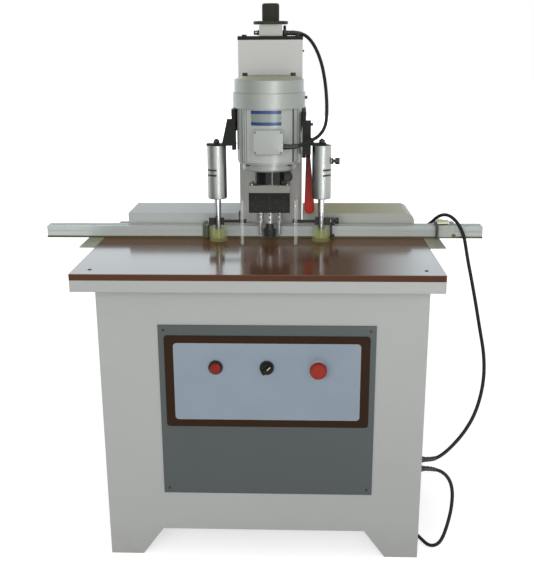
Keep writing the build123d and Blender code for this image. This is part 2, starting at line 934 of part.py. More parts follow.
# Carriage and motor
def make_carriage():
    """The block on the guide rods, with a neck through the column's slot and a plate for the motor."""
    half = carriage_plate_width / 2
    plate_back = carriage_plate_front + carriage_plate
    body = block(head_x - half, head_x + half, carriage_plate_front, plate_back, carriage_bottom, carriage_top)
    block_front = lift_y - carriage_block_depth / 2
    neck = carriage_neck_width / 2
    body += block(head_x - neck, head_x + neck, plate_back, block_front, carriage_bottom, carriage_top)
    wide = carriage_block_width / 2
    rear = block_front + carriage_block_depth
    body += block(head_x - wide, head_x + wide, block_front, rear, carriage_bottom, carriage_top)
    for x in guide_rod_xs():
        body -= post(guide_rod_radius + guide_bush_wall, x, lift_y, carriage_bottom, carriage_top)
    return body - post(lift_rod_radius, head_x, lift_y, carriage_top - lift_rod_grip, carriage_top)


def make_motor_housing():
    """The finned shell, with a bearing seat in its top wall and a pad for the carriage at the back."""
    body = post(motor_radius, head_x, bit_y, housing_bottom, housing_top)
    pad = mount_pad_width / 2
    body += block(head_x - pad, head_x + pad, bit_y, carriage_plate_front, carriage_bottom, carriage_top)
    body -= post(motor_bore_radius, head_x, bit_y, housing_bottom, housing_top - housing_top_wall)
    seat_top = housing_top - (housing_top_wall - motor_bearing_width)
    body -= post(motor_bearing_radius, head_x, bit_y, housing_top - housing_top_wall, seat_top)
    body -= post(shaft_radius + 2, head_x, bit_y, seat_top, housing_top)
    reach = motor_radius - fin_groove_depth / 2 + 0.5
    groove = Box(fin_groove_depth + 1, fin_groove_width, housing_height)
    first = -(fin_grooves_per_side - 1) / 2
    for side in (0, 180):
        for step in range(fin_grooves_per_side):
            angle = side + (first + step) * fin_groove_step
            turned = Rot(0, 0, angle) * Pos(reach, 0, 0) * groove
            body -= Pos(head_x, bit_y, housing_bottom + housing_height / 2) * turned
    return body


def make_motor_flange():
    """The lower end bell, with the bearing seat and the spigot that the gear head hangs on."""
    rim_bottom = housing_bottom - flange_rim_height
    bell = post(flange_radius, head_x, bit_y, flange_bottom, rim_bottom)
    bell = fillet(bell.faces().sort_by(Axis.Z)[0].edges(), flange_wall * 0.75)
    bell += post(flange_rim_radius, head_x, bit_y, rim_bottom, housing_bottom)
    bell += post(spigot_radius, head_x, bit_y, lid_top, flange_bottom)
    hollow = flange_radius - flange_wall
    bell -= post(hollow, head_x, bit_y, flange_bottom + flange_wall + motor_bearing_width, housing_bottom)
    seat_top = flange_bottom + flange_wall + motor_bearing_width
    bell -= post(motor_bearing_radius, head_x, bit_y, flange_bottom + flange_wall, seat_top)
    bell -= post(shaft_bearing_radius, head_x, bit_y, lid_top, flange_bottom + flange_wall)
    for x, y in flange_bolt_places():
        bell -= post(small_screw_shank, x, y, rim_bottom, housing_bottom)
    return bell


def flange_bolt_places():
    reach = (flange_radius + flange_rim_radius) / 2 * math.sqrt(0.5)
    return [(head_x + sx * reach, bit_y + sy * reach) for sx in (-1, 1) for sy in (-1, 1)]


def make_fan_cover():
    """A seat ring, a rolled wall with a wider band, a spun shoulder, and the slotted air guard set in its top."""
    sheet = fan_cover_sheet
    seam = fan_cover_top - fan_shoulder_rise - sheet
    seat = ring(fan_cover_radius, motor_radius - fan_cover_lip, head_x, bit_y, housing_top, housing_top + sheet)

    wall = ring(fan_cover_radius, fan_cover_radius - sheet, head_x, bit_y, housing_top + sheet, fan_band_top)
    wall += ring(fan_cover_radius, fan_drum_radius - sheet, head_x, bit_y, fan_band_top - sheet, fan_band_top)
    wall += ring(fan_drum_radius, fan_drum_radius - sheet, head_x, bit_y, fan_band_top - sheet, seam)
    wall = wall.rotate(Axis((head_x, bit_y, 0), (0, 0, 1)), fan_seam_turn)
    start, end, z = fan_side_bolt_place()
    wall -= bar_x(small_screw_shank, start - sheet, end + sheet, bit_y, z)

    def bowl(inset, low):
        top = fan_cover_top - inset
        edge = top - fan_shoulder_rise
        cone = Cone(fan_drum_radius - inset, fan_cover_top_radius - inset, fan_shoulder_rise)
        return post(fan_drum_radius - inset, head_x, bit_y, low, edge) + Pos(head_x, bit_y, (edge + top) / 2) * cone

    guard_low = fan_cover_top - sheet
    shoulder = bowl(0, seam) - bowl(sheet, seam - sheet)
    shoulder -= post(fan_guard_radius, head_x, bit_y, guard_low, fan_cover_top)

    guard = post(fan_guard_radius - fan_guard_gap, head_x, bit_y, guard_low, fan_cover_top)
    slot = Box(fan_guard_radius * 0.5, fan_cover_sheet * 2.5, fan_cover_sheet * 2)
    for step in range(fan_slot_count):
        turned = Rot(0, 0, 360 / fan_slot_count * (step + 0.5)) * Pos(fan_guard_radius * 0.6, 0, 0) * slot
        guard -= Pos(head_x, bit_y, fan_cover_top) * turned
    for x, y in fan_bolt_places():
        guard -= post(bolt_shank, x, y, guard_low, fan_cover_top)
    return [seat, wall, shoulder, guard]


def fan_side_bolt_place():
    """The inner end, the outer face and the height of the bolt through the band on the right."""
    z = housing_top + fan_side_bolt_lift
    outer = head_x + fan_cover_radius
    return outer - fan_cover_sheet, outer, z


def fan_bolt_places():
    reach = fan_guard_radius - fan_bolt_inset
    return [(head_x - reach, bit_y), (head_x + reach, bit_y)]


def make_stator():
    low = housing_bottom + carriage_lift
    return ring(motor_bore_radius, rotor_radius + air_gap, head_x, bit_y, low, low + stator_height)


def make_terminal_box():
    """The connection box on the motor's front, hollow, with its cable boss on the right."""
    half = terminal_width / 2
    z0 = housing_bottom + terminal_lift
    front = terminal_front
    box = block(head_x - half, head_x + half, front, front + 2 * terminal_depth, z0, z0 + terminal_height)
    box -= post(motor_radius, head_x, bit_y, housing_bottom, housing_top)
    wall = terminal_wall
    room = half - wall
    top = z0 + terminal_height - wall
    box -= block(head_x - room, head_x + room, front + wall, front + terminal_room, z0 + wall, top)
    box += bar_x(gland_dome_radius, head_x + half, terminal_exit_x, terminal_exit_y, terminal_exit_z)
    for x, z in terminal_screw_places():
        box -= bar_y(small_screw_shank, x, front, front + wall, z)
    return box


def terminal_screw_places():
    half = terminal_width / 2 - 1.5 * small_screw_head
    low = housing_bottom + terminal_lift + 1.5 * small_screw_head
    high = low + terminal_height - 3 * small_screw_head
    return [(head_x + side * half, z) for side in (-1, 1) for z in (low, high)]


# Gear head
def make_clamp_collar():
    """The split collar round the spigot, with an ear each side of the slit for its clamp screw."""
    low = lid_top + collar_drop
    high = low + collar_height
    collar = post(collar_radius, head_x, bit_y, low, high)
    half = collar_ear_depth / 2
    ear_low = collar_screw_z - collar_ear_radius
    ear_high = collar_screw_z + collar_ear_radius
    collar += block(head_x + spigot_radius, collar_screw_x, bit_y - half, bit_y + half, ear_low, ear_high)
    collar += bar_y(collar_ear_radius, collar_screw_x, bit_y - half, bit_y + half, collar_screw_z)
    collar -= post(spigot_radius, head_x, bit_y, low, high)
    slit = collar_slit / 2
    ear_end = collar_screw_x + collar_ear_radius
    collar -= block(head_x, ear_end, bit_y - slit, bit_y + slit, low, high)
    return collar - bar_y(bolt_shank, collar_screw_x, bit_y - half, bit_y + half, collar_screw_z)


def gear(x, y, phase):
    """A spur gear with straight-flanked teeth, one of them at the angle phase."""
    pitch_radius = gear_module * gear_teeth / 2
    tip = pitch_radius + 0.85 * gear_module
    root = pitch_radius - 1.25 * gear_module
    step = 2 * math.pi / gear_teeth
    wide = 0.21 * step
    narrow = 0.10 * step
    outline = []
    for tooth in range(gear_teeth):
        middle = math.radians(phase) + tooth * step
        for radius, turn in ((root, -1.35 * wide), (tip, -narrow), (tip, narrow), (root, 1.35 * wide)):
            outline.append((x + radius * math.cos(middle + turn), y + radius * math.sin(middle + turn), gear_z))
    return prism(outline, (0, 0, gear_width))


def meshing_phase(x, y, drive_phase):
    """The phase at which a gear on (x, y) has a gap where the drive gear has a tooth."""
    way = math.degrees(math.atan2(y - bit_y, x - head_x))
    return 2 * way + 180 - drive_phase - 180 / gear_teeth


def make_gearbox():
    half = gearbox_width / 2
    deep = gearbox_depth / 2
    box = block(head_x - half, head_x + half, bit_y - deep, bit_y + deep, gearbox_bottom, lid_bottom)
    tip = gear_centre_distance / 2 + gear_module
    room = tip + gear_room
    cavity_floor = gearbox_bottom + gearbox_floor
    box -= block(
        dowel_xs[0] - room, dowel_xs[1] + room, bit_y - room, dowel_y + room, cavity_floor, lid_bottom
    )
    box -= post(shaft_bearing_radius, head_x, bit_y, gearbox_bottom, cavity_floor)
    for x in dowel_xs:
        box -= post(small_bearing_radius, x, dowel_y, gearbox_bottom, cavity_floor)
    for x, z in gearbox_screw_places():
        box -= bar_y(small_screw_shank, x, bit_y - deep, bit_y - deep + small_screw_length, z)
    return box


def gearbox_screw_places():
    step = gearbox_width * 0.34
    levels = (gearbox_bottom + gearbox_height * 0.22, gearbox_bottom + gearbox_height * 0.76)
    return [(head_x + column * step, z) for column in (-1, 0, 1) for z in levels]


def lid_bolt_places():
    x = gearbox_width / 2 - 1.6 * bolt_head
    y = gearbox_depth / 2 - 1.6 * bolt_head
    return [(head_x + sx * x, bit_y + sy * y) for sx in (-1, 1) for sy in (-1, 1)]


def make_gearbox_lid():
    half = gearbox_width / 2
    deep = gearbox_depth / 2
    lid = block(head_x - half, head_x + half, bit_y - deep, bit_y + deep, lid_bottom, lid_top)
    lid -= post(shaft_bearing_radius, head_x, bit_y, lid_bottom, lid_top)
    for x in dowel_xs:
        lid -= post(small_bearing_radius, x, dowel_y, lid_bottom, lid_bottom + small_bearing_width)
    for x, y in lid_bolt_places():
        lid -= post(bolt_shank, x, y, lid_top - small_screw_length, lid_top)
    return lid


def make_rotor():
    """The rotor on its shaft, down to the socket for the middle bit, and the fan on its upper end."""
    core_low = housing_bottom + carriage_lift
    fan_low = housing_top + fan_height * 0.4
    shaft = post(shaft_radius, head_x, bit_y, gearbox_bottom, fan_low + fan_height)
    shaft += post(nose_radius, head_x, bit_y, nose_bottom, gearbox_bottom - running_clearance)
    shaft += post(rotor_radius, head_x, bit_y, core_low, core_low + stator_height)
    shaft -= post(cutter_shank_radius, head_x, bit_y, nose_bottom, nose_bottom + cutter_shank_length)
    fan = post(2 * shaft_radius, head_x, bit_y, fan_low, fan_low + fan_height)
    fan += post(fan_radius, head_x, bit_y, fan_low, fan_low + 2 * fan_cover_sheet)
    for step in range(fan_blades):
        blade = Pos(fan_radius / 2, 0, fan_height / 2) * Box(fan_radius * 0.98, fan_cover_sheet, fan_height)
        fan += Pos(head_x, bit_y, fan_low) * Rot(0, 0, 360 / fan_blades * step) * blade
    fan -= post(shaft_radius, head_x, bit_y, fan_low, fan_low + fan_height)
    return [shaft, fan]


def make_drive_gear():
    return gear(head_x, bit_y, drive_phase) - post(shaft_radius, head_x, bit_y, gear_z, gear_z + gear_width)


def make_hinge_bit():
    """The cup cutter: a shank, a head with two chip gashes and a centre point."""
    top = nose_bottom + cutter_shank_length
    bit = post(cutter_shank_radius, head_x, bit_y, nose_bottom - cutter_length * 0.6, top)
    head_top = cutter_bottom + cutter_length * 0.55
    head = post(cutter_radius, head_x, bit_y, cutter_bottom, head_top)
    for side in (0, 180):
        gash = Box(cutter_radius, cutter_radius * 0.55, cutter_length)
        turned = Rot(0, 0, side) * Pos(cutter_radius * 0.9, cutter_radius * 0.55, 0) * gash
        head -= Pos(head_x, bit_y, cutter_bottom) * turned
    neck = Pos(head_x, bit_y, (head_top + nose_bottom) / 2) * Cone(
        cutter_radius * 0.8, nose_radius * 0.9, nose_bottom - head_top
    )
    point = Pos(head_x, bit_y, cutter_bottom - cutter_point / 2) * Cone(
        0.3, cutter_point, cutter_point
    )
    return bit + head + neck + point


def make_side_spindle(x):
    """A pinion shaft with the socket at its lower end, and the dowel bit in the socket."""
    top = lid_bottom + small_bearing_width - 0.5
    shaft = post(spindle_radius, x, dowel_y, gearbox_bottom - running_clearance, top)
    shaft += post(nose_radius, x, dowel_y, nose_bottom, gearbox_bottom - running_clearance)
    shaft += gear(x, dowel_y, meshing_phase(x, dowel_y, drive_phase))
    shaft -= post(dowel_shank_radius, x, dowel_y, nose_bottom, nose_bottom + cutter_shank_length)
    bit = post(dowel_shank_radius, x, dowel_y, nose_bottom, nose_bottom + cutter_shank_length)
    bit += post(dowel_bit_radius, x, dowel_y, cutter_bottom + cutter_point, nose_bottom)
    bit += Pos(x, dowel_y, cutter_bottom + cutter_point / 2) * Cone(0.5, dowel_bit_radius, cutter_point)
    return [shaft, bit]


def make_bearings():
    """Rolling bearings of the motor and the gear head, and the bushes on the guide rods."""
    cavity_floor = gearbox_bottom + gearbox_floor
    shaft_bore = shaft_radius + running_clearance
    spindle_bore = spindle_radius + running_clearance
    rings = [ring(shaft_bearing_radius, shaft_bore, head_x, bit_y, gearbox_bottom, cavity_floor)]
    for x in dowel_xs:
        rings.append(ring(small_bearing_radius, spindle_bore, x, dowel_y, gearbox_bottom, cavity_floor))
        rings.append(
            ring(small_bearing_radius, spindle_bore, x, dowel_y, lid_bottom, lid_bottom + small_bearing_width)
        )
    low_seat = flange_bottom + flange_wall
    high_seat = housing_top - housing_top_wall
    for z in (low_seat, high_seat):
        rings.append(ring(motor_bearing_radius, shaft_bore, head_x, bit_y, z, z + motor_bearing_width))
    bush = guide_rod_radius + guide_bush_wall
    for x in guide_rod_xs():
        for z in (carriage_bottom, carriage_top - guide_bush_length):
            rings.append(ring(bush, guide_rod_radius + running_clearance, x, lift_y, z, z + guide_bush_length))
    return rings


# Clamps and guard
def make_clamp_barrel(x):
    floor = barrel_bottom + barrel_end_wall
    tube = post(barrel_radius, x, clamp_y, barrel_bottom, barrel_top)
    tube = chamfer(tube.faces().sort_by(Axis.Z)[0].edges(), barrel_chamfer)
    tube -= post(barrel_bore_radius, x, clamp_y, floor, barrel_top)
    tube -= post(clamp_rod_radius + running_clearance, x, clamp_y, barrel_bottom, floor)
    if x > head_x:
        port_z = barrel_top - flow_port_drop
        face = x + barrel_radius
        inner = x + barrel_bore_radius
        tube += bar_x(flow_boss_radius, inner + 1, face + flow_boss_height, clamp_y, port_z)
        tube -= bar_x(flow_stem_radius + running_clearance, inner - 1, face + flow_boss_height, clamp_y, port_z)
    return tube


def make_clamp_cap(x):
    """The plug in the barrel's upper end, with the stud that goes up through the bracket's arm."""
    plug = post(barrel_bore_radius, x, clamp_y, barrel_top - cap_plug_height, barrel_top)
    return plug + post(clamp_stud_radius, x, clamp_y, barrel_top, arm_top + clamp_nut_height + clamp_stud_end)


def make_clamp_rod(x):
    low = table_height + pad_gap + pad_floor
    piston_low = barrel_bottom + barrel_end_wall + 2
    rod = post(clamp_rod_radius, x, clamp_y, low, piston_low)
    return rod + post(clamp_piston_radius, x, clamp_y, piston_low, piston_low + clamp_piston_length)


def make_clamp_pad(x):
    """A soft cup under the rod: a thick floor, a wall, and a boss round the rod's end."""
    low = table_height + pad_gap
    high = low + pad_height
    pad = post(pad_radius, x, clamp_y, low, high)
    pad = fillet(pad.faces().sort_by(Axis.Z)[0].edges(), 2)
    pad -= post(pad_radius - pad_wall, x, clamp_y, low + pad_floor, high)
    boss = clamp_rod_radius + pad_wall * 0.7
    pad += post(boss, x, clamp_y, low + pad_floor, low + pad_height * 0.7)
    return pad - post(clamp_rod_radius, x, clamp_y, low + pad_floor, high)


def make_guard_arm(x):
    """A saddle on the clamp rod, open at the front, with a pin towards the guard, a lug and its set screw."""
    low = table_height + arm_collar_lift
    high = low + arm_collar_height
    middle = (low + high) / 2
    inward = 1 if x < head_x else -1
    flange = head_x - inward * guard_width / 2
    end = flange + inward * arm_pin_end
    front = clamp_y - arm_front_reach
    lug_end = x - inward * arm_lug_reach
    arm = post(arm_collar_radius, x, clamp_y, low, high)
    arm += bar_x(arm_pin_radius, min(x, end), max(x, end), clamp_y, middle)
    arm += block(x, lug_end, front, front + arm_lug_depth, low, high)
    wide = arm_collar_radius
    arm -= block(x - wide, x + wide, clamp_y - wide, front, low, high)
    arm -= block(x - clamp_rod_radius, x + clamp_rod_radius, front, clamp_y, low, high)
    arm -= post(clamp_rod_radius, x, clamp_y, low, high)
    tip = x - inward * clamp_rod_radius
    shank = bar_x(small_screw_shank, tip, lug_end, clamp_y, middle)
    head = bar_x(arm_screw_head, lug_end, lug_end - inward * arm_screw_height, clamp_y, middle)
    return [arm - shank, head + shank]


def make_guard():
    """A clear sheet bent to a U round the front of the bits."""
    half = guard_width / 2
    front = bit_y - guard_reach
    back = front + guard_depth
    low = table_height + guard_gap
    high = low + guard_height
    outer = block(head_x - half, head_x + half, front, back, low, high)
    corners = outer.edges().filter_by(Axis.Z).sort_by(Axis.Y)[:2]
    outer = fillet(corners, guard_bend)
    sheet = guard_sheet
    inner = block(head_x - half + sheet, head_x + half - sheet, front + sheet, back, low, high)
    corners = inner.edges().filter_by(Axis.Z).sort_by(Axis.Y)[:2]
    inner = fillet(corners, guard_bend - sheet)
    guard = outer - inner
    pin_z = table_height + arm_collar_lift + arm_collar_height / 2
    return guard - bar_x(arm_pin_radius, head_x - half, head_x + half, clamp_y, pin_z)


def make_clamp_bracket(side):
    """A plate on the column's side with a leg in front, and the arm over the clamp with its gusset."""
    face = head_x + side * column_width / 2
    outer = face + side * bracket_sheet
    arm_front = clamp_y - arm_depth / 2
    leg_back = arm_front + bracket_leg_depth
    band_low = bracket_top - bracket_band
    clamp_x = head_x + side * clamp_pitch / 2
    if side > 0:
        top = bracket_top - right_bracket_drop
        leg_outer = face + right_leg_width
        leg_top = top - right_leg_step
        arm_end = clamp_x + right_arm_end
        rise = right_gusset_rise
        step = right_gusset_step
        run = right_gusset_run
        drop = right_leg_drop
    else:
        top = bracket_top
        leg_outer = outer
        leg_top = top
        arm_end = clamp_x - barrel_radius
        rise = gusset_rise
        step = -gusset_step
        run = -gusset_run
        drop = leg_drop
    bracket = block(face, outer, arm_front, column_front + bracket_overlap, band_low, top)
    bracket += block(face, leg_outer, arm_front, leg_back, barrel_top - drop, leg_top)
    bracket += block(face, arm_end, arm_front, arm_front + arm_depth, barrel_top, arm_top)
    gusset = [
        (leg_outer, arm_front, arm_top),
        (leg_outer, arm_front, arm_top + rise),
        (leg_outer + step, arm_front, arm_top + rise),
        (leg_outer + run, arm_front, arm_top),
    ]
    bracket += prism(gusset, (0, arm_thickness, 0))
    bracket -= post(clamp_stud_radius, clamp_x, clamp_y, barrel_top, arm_top)
    if side > 0:
        lug_bottom = lever_z - lever_hub_radius
        lug = bracket_leg_depth / 2
        bracket += block(face, outer, lever_y - lug, lever_y + lug, lug_bottom, band_low)
        bracket += bar_x(lever_pin_radius, outer, outer + lever_pin_length, lever_y, lever_z)
        x, y, z = leg_bolt_place()
        bracket -= bar_x(small_screw_shank, x - small_screw_length, x, y, z)
    return bracket


def leg_bolt_place():
    """Where the bolt in the right bracket's leg has its head: on the leg's outer face."""
    y = clamp_y - arm_depth / 2 + bracket_leg_depth / 2
    return column_right + right_leg_width, y, bracket_top - right_bracket_drop - side_bolt_drop


def make_lock_lever():
    """The lever that hangs from its pin: a hub, and a blade that widens to a rounded grip."""
    near = column_right + bracket_sheet + lever_side_gap
    far = column_right + bracket_sheet + lever_pin_length
    hub = bar_x(lever_hub_radius, near, far, lever_y, lever_z)
    middle = (near + far) / 2
    low = lever_z - lever_length
    ends = Sketch() + Pos(middle, lever_z) * Circle(lever_top_radius)
    ends += Pos(middle + lever_end_shift, low) * Circle(lever_end_radius)
    outline = make_hull(ends.edges())
    blade = extrude(Plane.XZ * outline, amount=lever_thickness)
    blade = Pos(0, lever_y + lever_thickness / 2, 0) * blade
    blade = fillet(blade.faces().filter_by(Axis.Y).edges(), 3)
    bore = bar_x(lever_pin_radius + running_clearance, near - lever_side_gap, far, lever_y, lever_z)
    return blade + hub - bore


def make_flow_knob():
    """The screw knob of the right clamp's air throttle."""
    face = clamp_xs[1] + barrel_radius + flow_boss_height
    z = barrel_top - flow_port_drop
    head = face + flow_stem_out
    knob = bar_x(flow_stem_radius, face - flow_stem_in, head, clamp_y, z)
    return knob + bar_x(flow_knob_radius, head, head + flow_knob_height, clamp_y, z)


# Screws, in one group for each body
def make_frame_screws():
    screws = []
    for x, y in table_bolt_places():
        screws.append(screw_down(x, y, table_height, bolt_head, flush_head_height, bolt_shank, board_thickness))
    small = (small_screw_head, small_screw_head_height, small_screw_shank)
    for x, z in panel_screw_places():
        screws.append(screw_in(x, panel_face, z, *small, panel_thickness + cabinet_sheet))
    for x, y in cap_bolt_places():
        screws.append(screw_down(x, y, cap_top, bolt_head, bolt_head_height, bolt_shank, cap_thickness))
    for x, y, z in column_screw_places():
        head = bar_x(small_screw_head, x, x + small_screw_head_height * 2, y, z)
        screws.append(head + bar_x(small_screw_shank, x - column_sheet, x, y, z))
    x, y, z = leg_bolt_place()
    head = bar_x(side_bolt_head, x, x + side_bolt_head_height, y, z)
    screws.append(head + bar_x(small_screw_shank, x - small_screw_length, x, y, z))
    for x in clamp_xs:
        hexagon = Pos(x, clamp_y, arm_top) * RegularPolygon(clamp_nut_radius, 6)
        nut = extrude(hexagon, amount=clamp_nut_height)
        screws.append(nut - post(clamp_stud_radius, x, clamp_y, arm_top, arm_top + clamp_nut_height))
    return screws


def make_head_screws():
    screws = []
    small = (small_screw_head, small_screw_head_height, small_screw_shank)
    for x, z in gearbox_screw_places():
        screws.append(screw_in(x, bit_y - gearbox_depth / 2, z, *small, small_screw_length))
    for x, z in terminal_screw_places():
        screws.append(screw_in(x, terminal_front, z, *small, terminal_wall))
    for x, y in lid_bolt_places():
        screws.append(screw_down(x, y, lid_top, bolt_head, bolt_head_height, bolt_shank, small_screw_length))
    rim_bottom = housing_bottom - flange_rim_height
    for x, y in flange_bolt_places():
        screws.append(
            post(2 * small_screw_head, x, y, rim_bottom - bolt_head_height, rim_bottom)
            + post(small_screw_shank, x, y, rim_bottom, housing_bottom)
        )
    for x, y in fan_bolt_places():
        screws.append(
            screw_down(x, y, fan_cover_top, 1.5 * bolt_head, 2 * bolt_head_height, bolt_shank, fan_cover_sheet)
        )
    inner, face, z = fan_side_bolt_place()
    head = bar_x(side_bolt_head, face, face + side_bolt_head_height, bit_y, z)
    screws.append(head + bar_x(small_screw_shank, inner, face, bit_y, z))
    ear_front = bit_y - collar_ear_depth / 2
    bolt = (collar_screw_head, bolt_head_height, bolt_shank)
    screws.append(screw_in(collar_screw_x, ear_front, collar_screw_z, *bolt, collar_ear_depth))
    return screws


# Cable glands and air fittings
def gland_x(x, y, z, wall):
    """A gland in a wall that looks to +X: thread through the wall, nut, and a dome that the cable leaves."""
    gland = bar_x(gland_thread_radius, x - wall, x, y, z)
    gland += bar_x(gland_radius, x, x + gland_nut_length, y, z)
    return gland + bar_x(gland_dome_radius, x + gland_nut_length, x + gland_length, y, z)


def make_glands():
    fittings = [gland_x(cabinet_right, gland_y, z, cabinet_sheet) for z in (gland_upper_z, gland_lower_z)]
    bushing = bar_x(gland_thread_radius, cover_end - cover_sheet, cover_end, cover_gland_y, cover_gland_z)
    bushing += bar_x(gland_radius, cover_end, cover_bushing_end, cover_gland_y, cover_gland_z)
    fittings.append(bushing)
    elbow = post(gland_dome_radius, elbow_x, lift_y, cap_top, cap_top + elbow_base_height)
    elbow += post(elbow_neck_radius, elbow_x, lift_y, cap_top, cap_top + elbow_height)
    elbow += bar_x(gland_dome_radius, elbow_x, elbow_x + gland_length, lift_y, elbow_z)
    fittings.append(elbow)
    side = head_x - block_size / 2
    fittings.append(bar_x(gland_dome_radius, side - fitting_length, side, lift_y, cap_top + fitting_lift))
    outer = cabinet_back + inlet_bore_length
    inlet = bar_y(gland_thread_radius, inlet_x, cabinet_back - cabinet_sheet, cabinet_back, inlet_z)
    inlet += bar_y(gland_radius, inlet_x, cabinet_back, outer + gland_dome_length / 2, inlet_z)
    mouth = outer + gland_dome_length / 2
    fittings.append(inlet - bar_y(hose_radius, inlet_x, mouth - inlet_bore_length, mouth, inlet_z))
    return fittings


# Cords
def tube_along(name, points):
    """A round cord along straight runs joined by tangent arcs as large as the runs allow."""
    radii = []
    for before, here, after in zip(points, points[1:], points[2:]):
        one = Vector(*here) - Vector(*before)
        two = Vector(*after) - Vector(*here)
        turn = math.radians(one.get_angle(two))
        radii.append(0.45 * min(one.length, two.length) / math.tan(turn / 2))
    path = FilletPolyline(*points, radius=radii)
    tube = swept(path)
    expected = math.pi * (cable_diameter / 2) ** 2 * path.length
    print(name, "length", round(path.length), "least radius", round(min(radii)), end=" ")
    print("volume over section times length", round(tube.volume / expected, 4))
    return tube


def swept(path):
    return sweep(Plane(path @ 0, z_dir=path % 0) * Circle(cable_diameter / 2), path=path)


def make_motor_cable():
    """From the motor's connection box in a free loop up to the elbow on the column's top."""
    return tube_along(
        "motor_cable",
        [
            (terminal_exit_x, terminal_exit_y, terminal_exit_z),
            (97, terminal_exit_y, terminal_exit_z),
            (123, -14, 1079),
            (151, 9, 1089),
            (171, 40, 1113),
            (175, 79, 1147),
            (175, 120, 1184),
            (171, 162, 1229),
            (162, 194, 1274),
            (146, 211, 1314),
            (124, 219, 1344),
            (100, lift_y, elbow_z),
            (elbow_x + gland_length, lift_y, elbow_z),
        ],
    )


def make_loop_cable():
    """From the right rear cover over the fence and down in a slack bow to the cabinet's side."""
    return tube_along(
        "loop_cable",
        [
            (cover_bushing_end, cover_gland_y, cover_gland_z),
            (452, cover_gland_y, cover_gland_z),
            (468, 152.5, 822.5),
            (481.5, 152.5, 832),
            (493.5, 148, 846),
            (506, 137, 856.5),
            (518, 121, 860),
            (529.5, 102.5, 857),
            (544, 85.5, 843),
            (558.5, 74, 816),
            (565, 63.5, 781.5),
            (571.5, 53.5, 742.5),
            (581, 34, 693),
            (590, 2, 633),
            (597, -34, 574),
            (605, -66, 518),
            (604, -95, 464),
            (592, -125, 417),
            (573, -151, 372),
            (546, -168, 330),
            (515, -179, 295),
            (487, -186, 270),
            (463, gland_y, gland_upper_z),
            (cabinet_right + gland_length, gland_y, gland_upper_z),
        ],
    )


def make_mains_lead():
    """From the lower gland down to the floor, behind the right foot and in under the cabinet."""
    return tube_along(
        "mains_lead",
        [
            (cabinet_right + gland_length, gland_y, gland_lower_z),
            (470, gland_y, gland_lower_z),
            (500, -195, 216),
            (516, -203, 183),
            (515, -214, 134),
            (504, -227, 86),
            (489, -236, 42),
            (474, -226, 18),
            (458, -203, floor_z),
            (444, -171, floor_z),
            (425, -132, floor_z),
            (402, -93, floor_z),
            (coil_x + coil_outer_radius, -47, floor_z),
            (coil_x + coil_outer_radius, coil_entry, floor_z),
        ],
    )


def biarc(start, start_way, end, end_way):
    """Two arcs from start to end that keep the given directions at both ends."""
    chord = end - start
    both = start_way + end_way
    a = both.dot(both) - 4
    b = -2 * chord.dot(both)
    c = chord.dot(chord)
    reach = (-b - math.sqrt(b * b - 4 * a * c)) / (2 * a)
    one = start + start_way * reach
    two = end - end_way * reach
    middle = (one + two) * 0.5
    first = TangentArc(start, middle, tangent=start_way)
    second = TangentArc(middle, end, tangent=(two - one).normalized())
    return [first, second]


def coil_knots():
    """The coil at each half turn: where it is and which way it runs. It spirals in, climbs, and spirals out."""
    steps = range(coil_half_turns_per_layer)
    inward = [coil_outer_radius - step * coil_pitch / 2 for step in steps]
    inner = inward[-1] - coil_inner_step
    radii = inward + [inner, inner] + inward[:0:-1] + [coil_tail_radius]
    low = floor_z
    high = floor_z + coil_layer_rise
    levels = [low] * (coil_half_turns_per_layer + 1) + [high] * (coil_half_turns_per_layer + 1)
    knots = []
    for count, (radius, z) in enumerate(zip(radii, levels)):
        side = 1 if count % 2 == 0 else -1
        knots.append((Vector(coil_x + side * radius, coil_y, z), Vector(0, side, 0)))
    return knots


def make_mains_coil():
    """The rest of the lead, put away in two layers of turns on the floor."""
    knots = coil_knots()
    start, start_way = knots[0]
    end, end_way = knots[-1]
    pieces = [Line(start - start_way * cable_diameter, start)]
    for (here, way), (there, next_way) in zip(knots, knots[1:]):
        pieces += biarc(here, way, there, next_way)
    pieces.append(Line(end, end + end_way * cable_diameter))
    path = Wire(pieces)
    coil = swept(path)
    samples = 900
    spots = [path @ (count / samples) for count in range(samples + 1)]
    apart = int(samples * 6 * cable_diameter / path.length)
    least = min(
        (spots[i] - spots[j]).length for i in range(len(spots)) for j in range(i + apart, len(spots))
    )
    expected = math.pi * (cable_diameter / 2) ** 2 * path.length
    print("mains_coil length", round(path.length), "least gap", round(least - cable_diameter, 2), end=" ")
    print("volume over section times length", round(coil.volume / expected, 4))
    return coil


def make_mains_plug():
    """A plain moulded plug with three flat pins, lying on the floor at the coil's outer end."""
    end, way = coil_knots()[-1]
    face = end.Y + way.Y * cable_diameter
    tip = face + way.Y * plug_length
    tall = end.Z - coil_floor_gap
    half = plug_width / 2
    body = block(end.X - half, end.X + half, face, tip, coil_floor_gap, end.Z + tall)
    body = fillet(body.edges().filter_by(Axis.Y), plug_corner)
    side = plug_pin_pitch / 2
    for dx, dz in ((-side, -plug_pin_rise), (side, -plug_pin_rise), (0, plug_pin_rise)):
        x = end.X + dx
        z = end.Z + dz
        body += block(
            x - plug_pin_thickness / 2,
            x + plug_pin_thickness / 2,
            tip,
            tip + way.Y * plug_pin_length,
            z - plug_pin_width / 2,
            z + plug_pin_width / 2,
        )
    return body


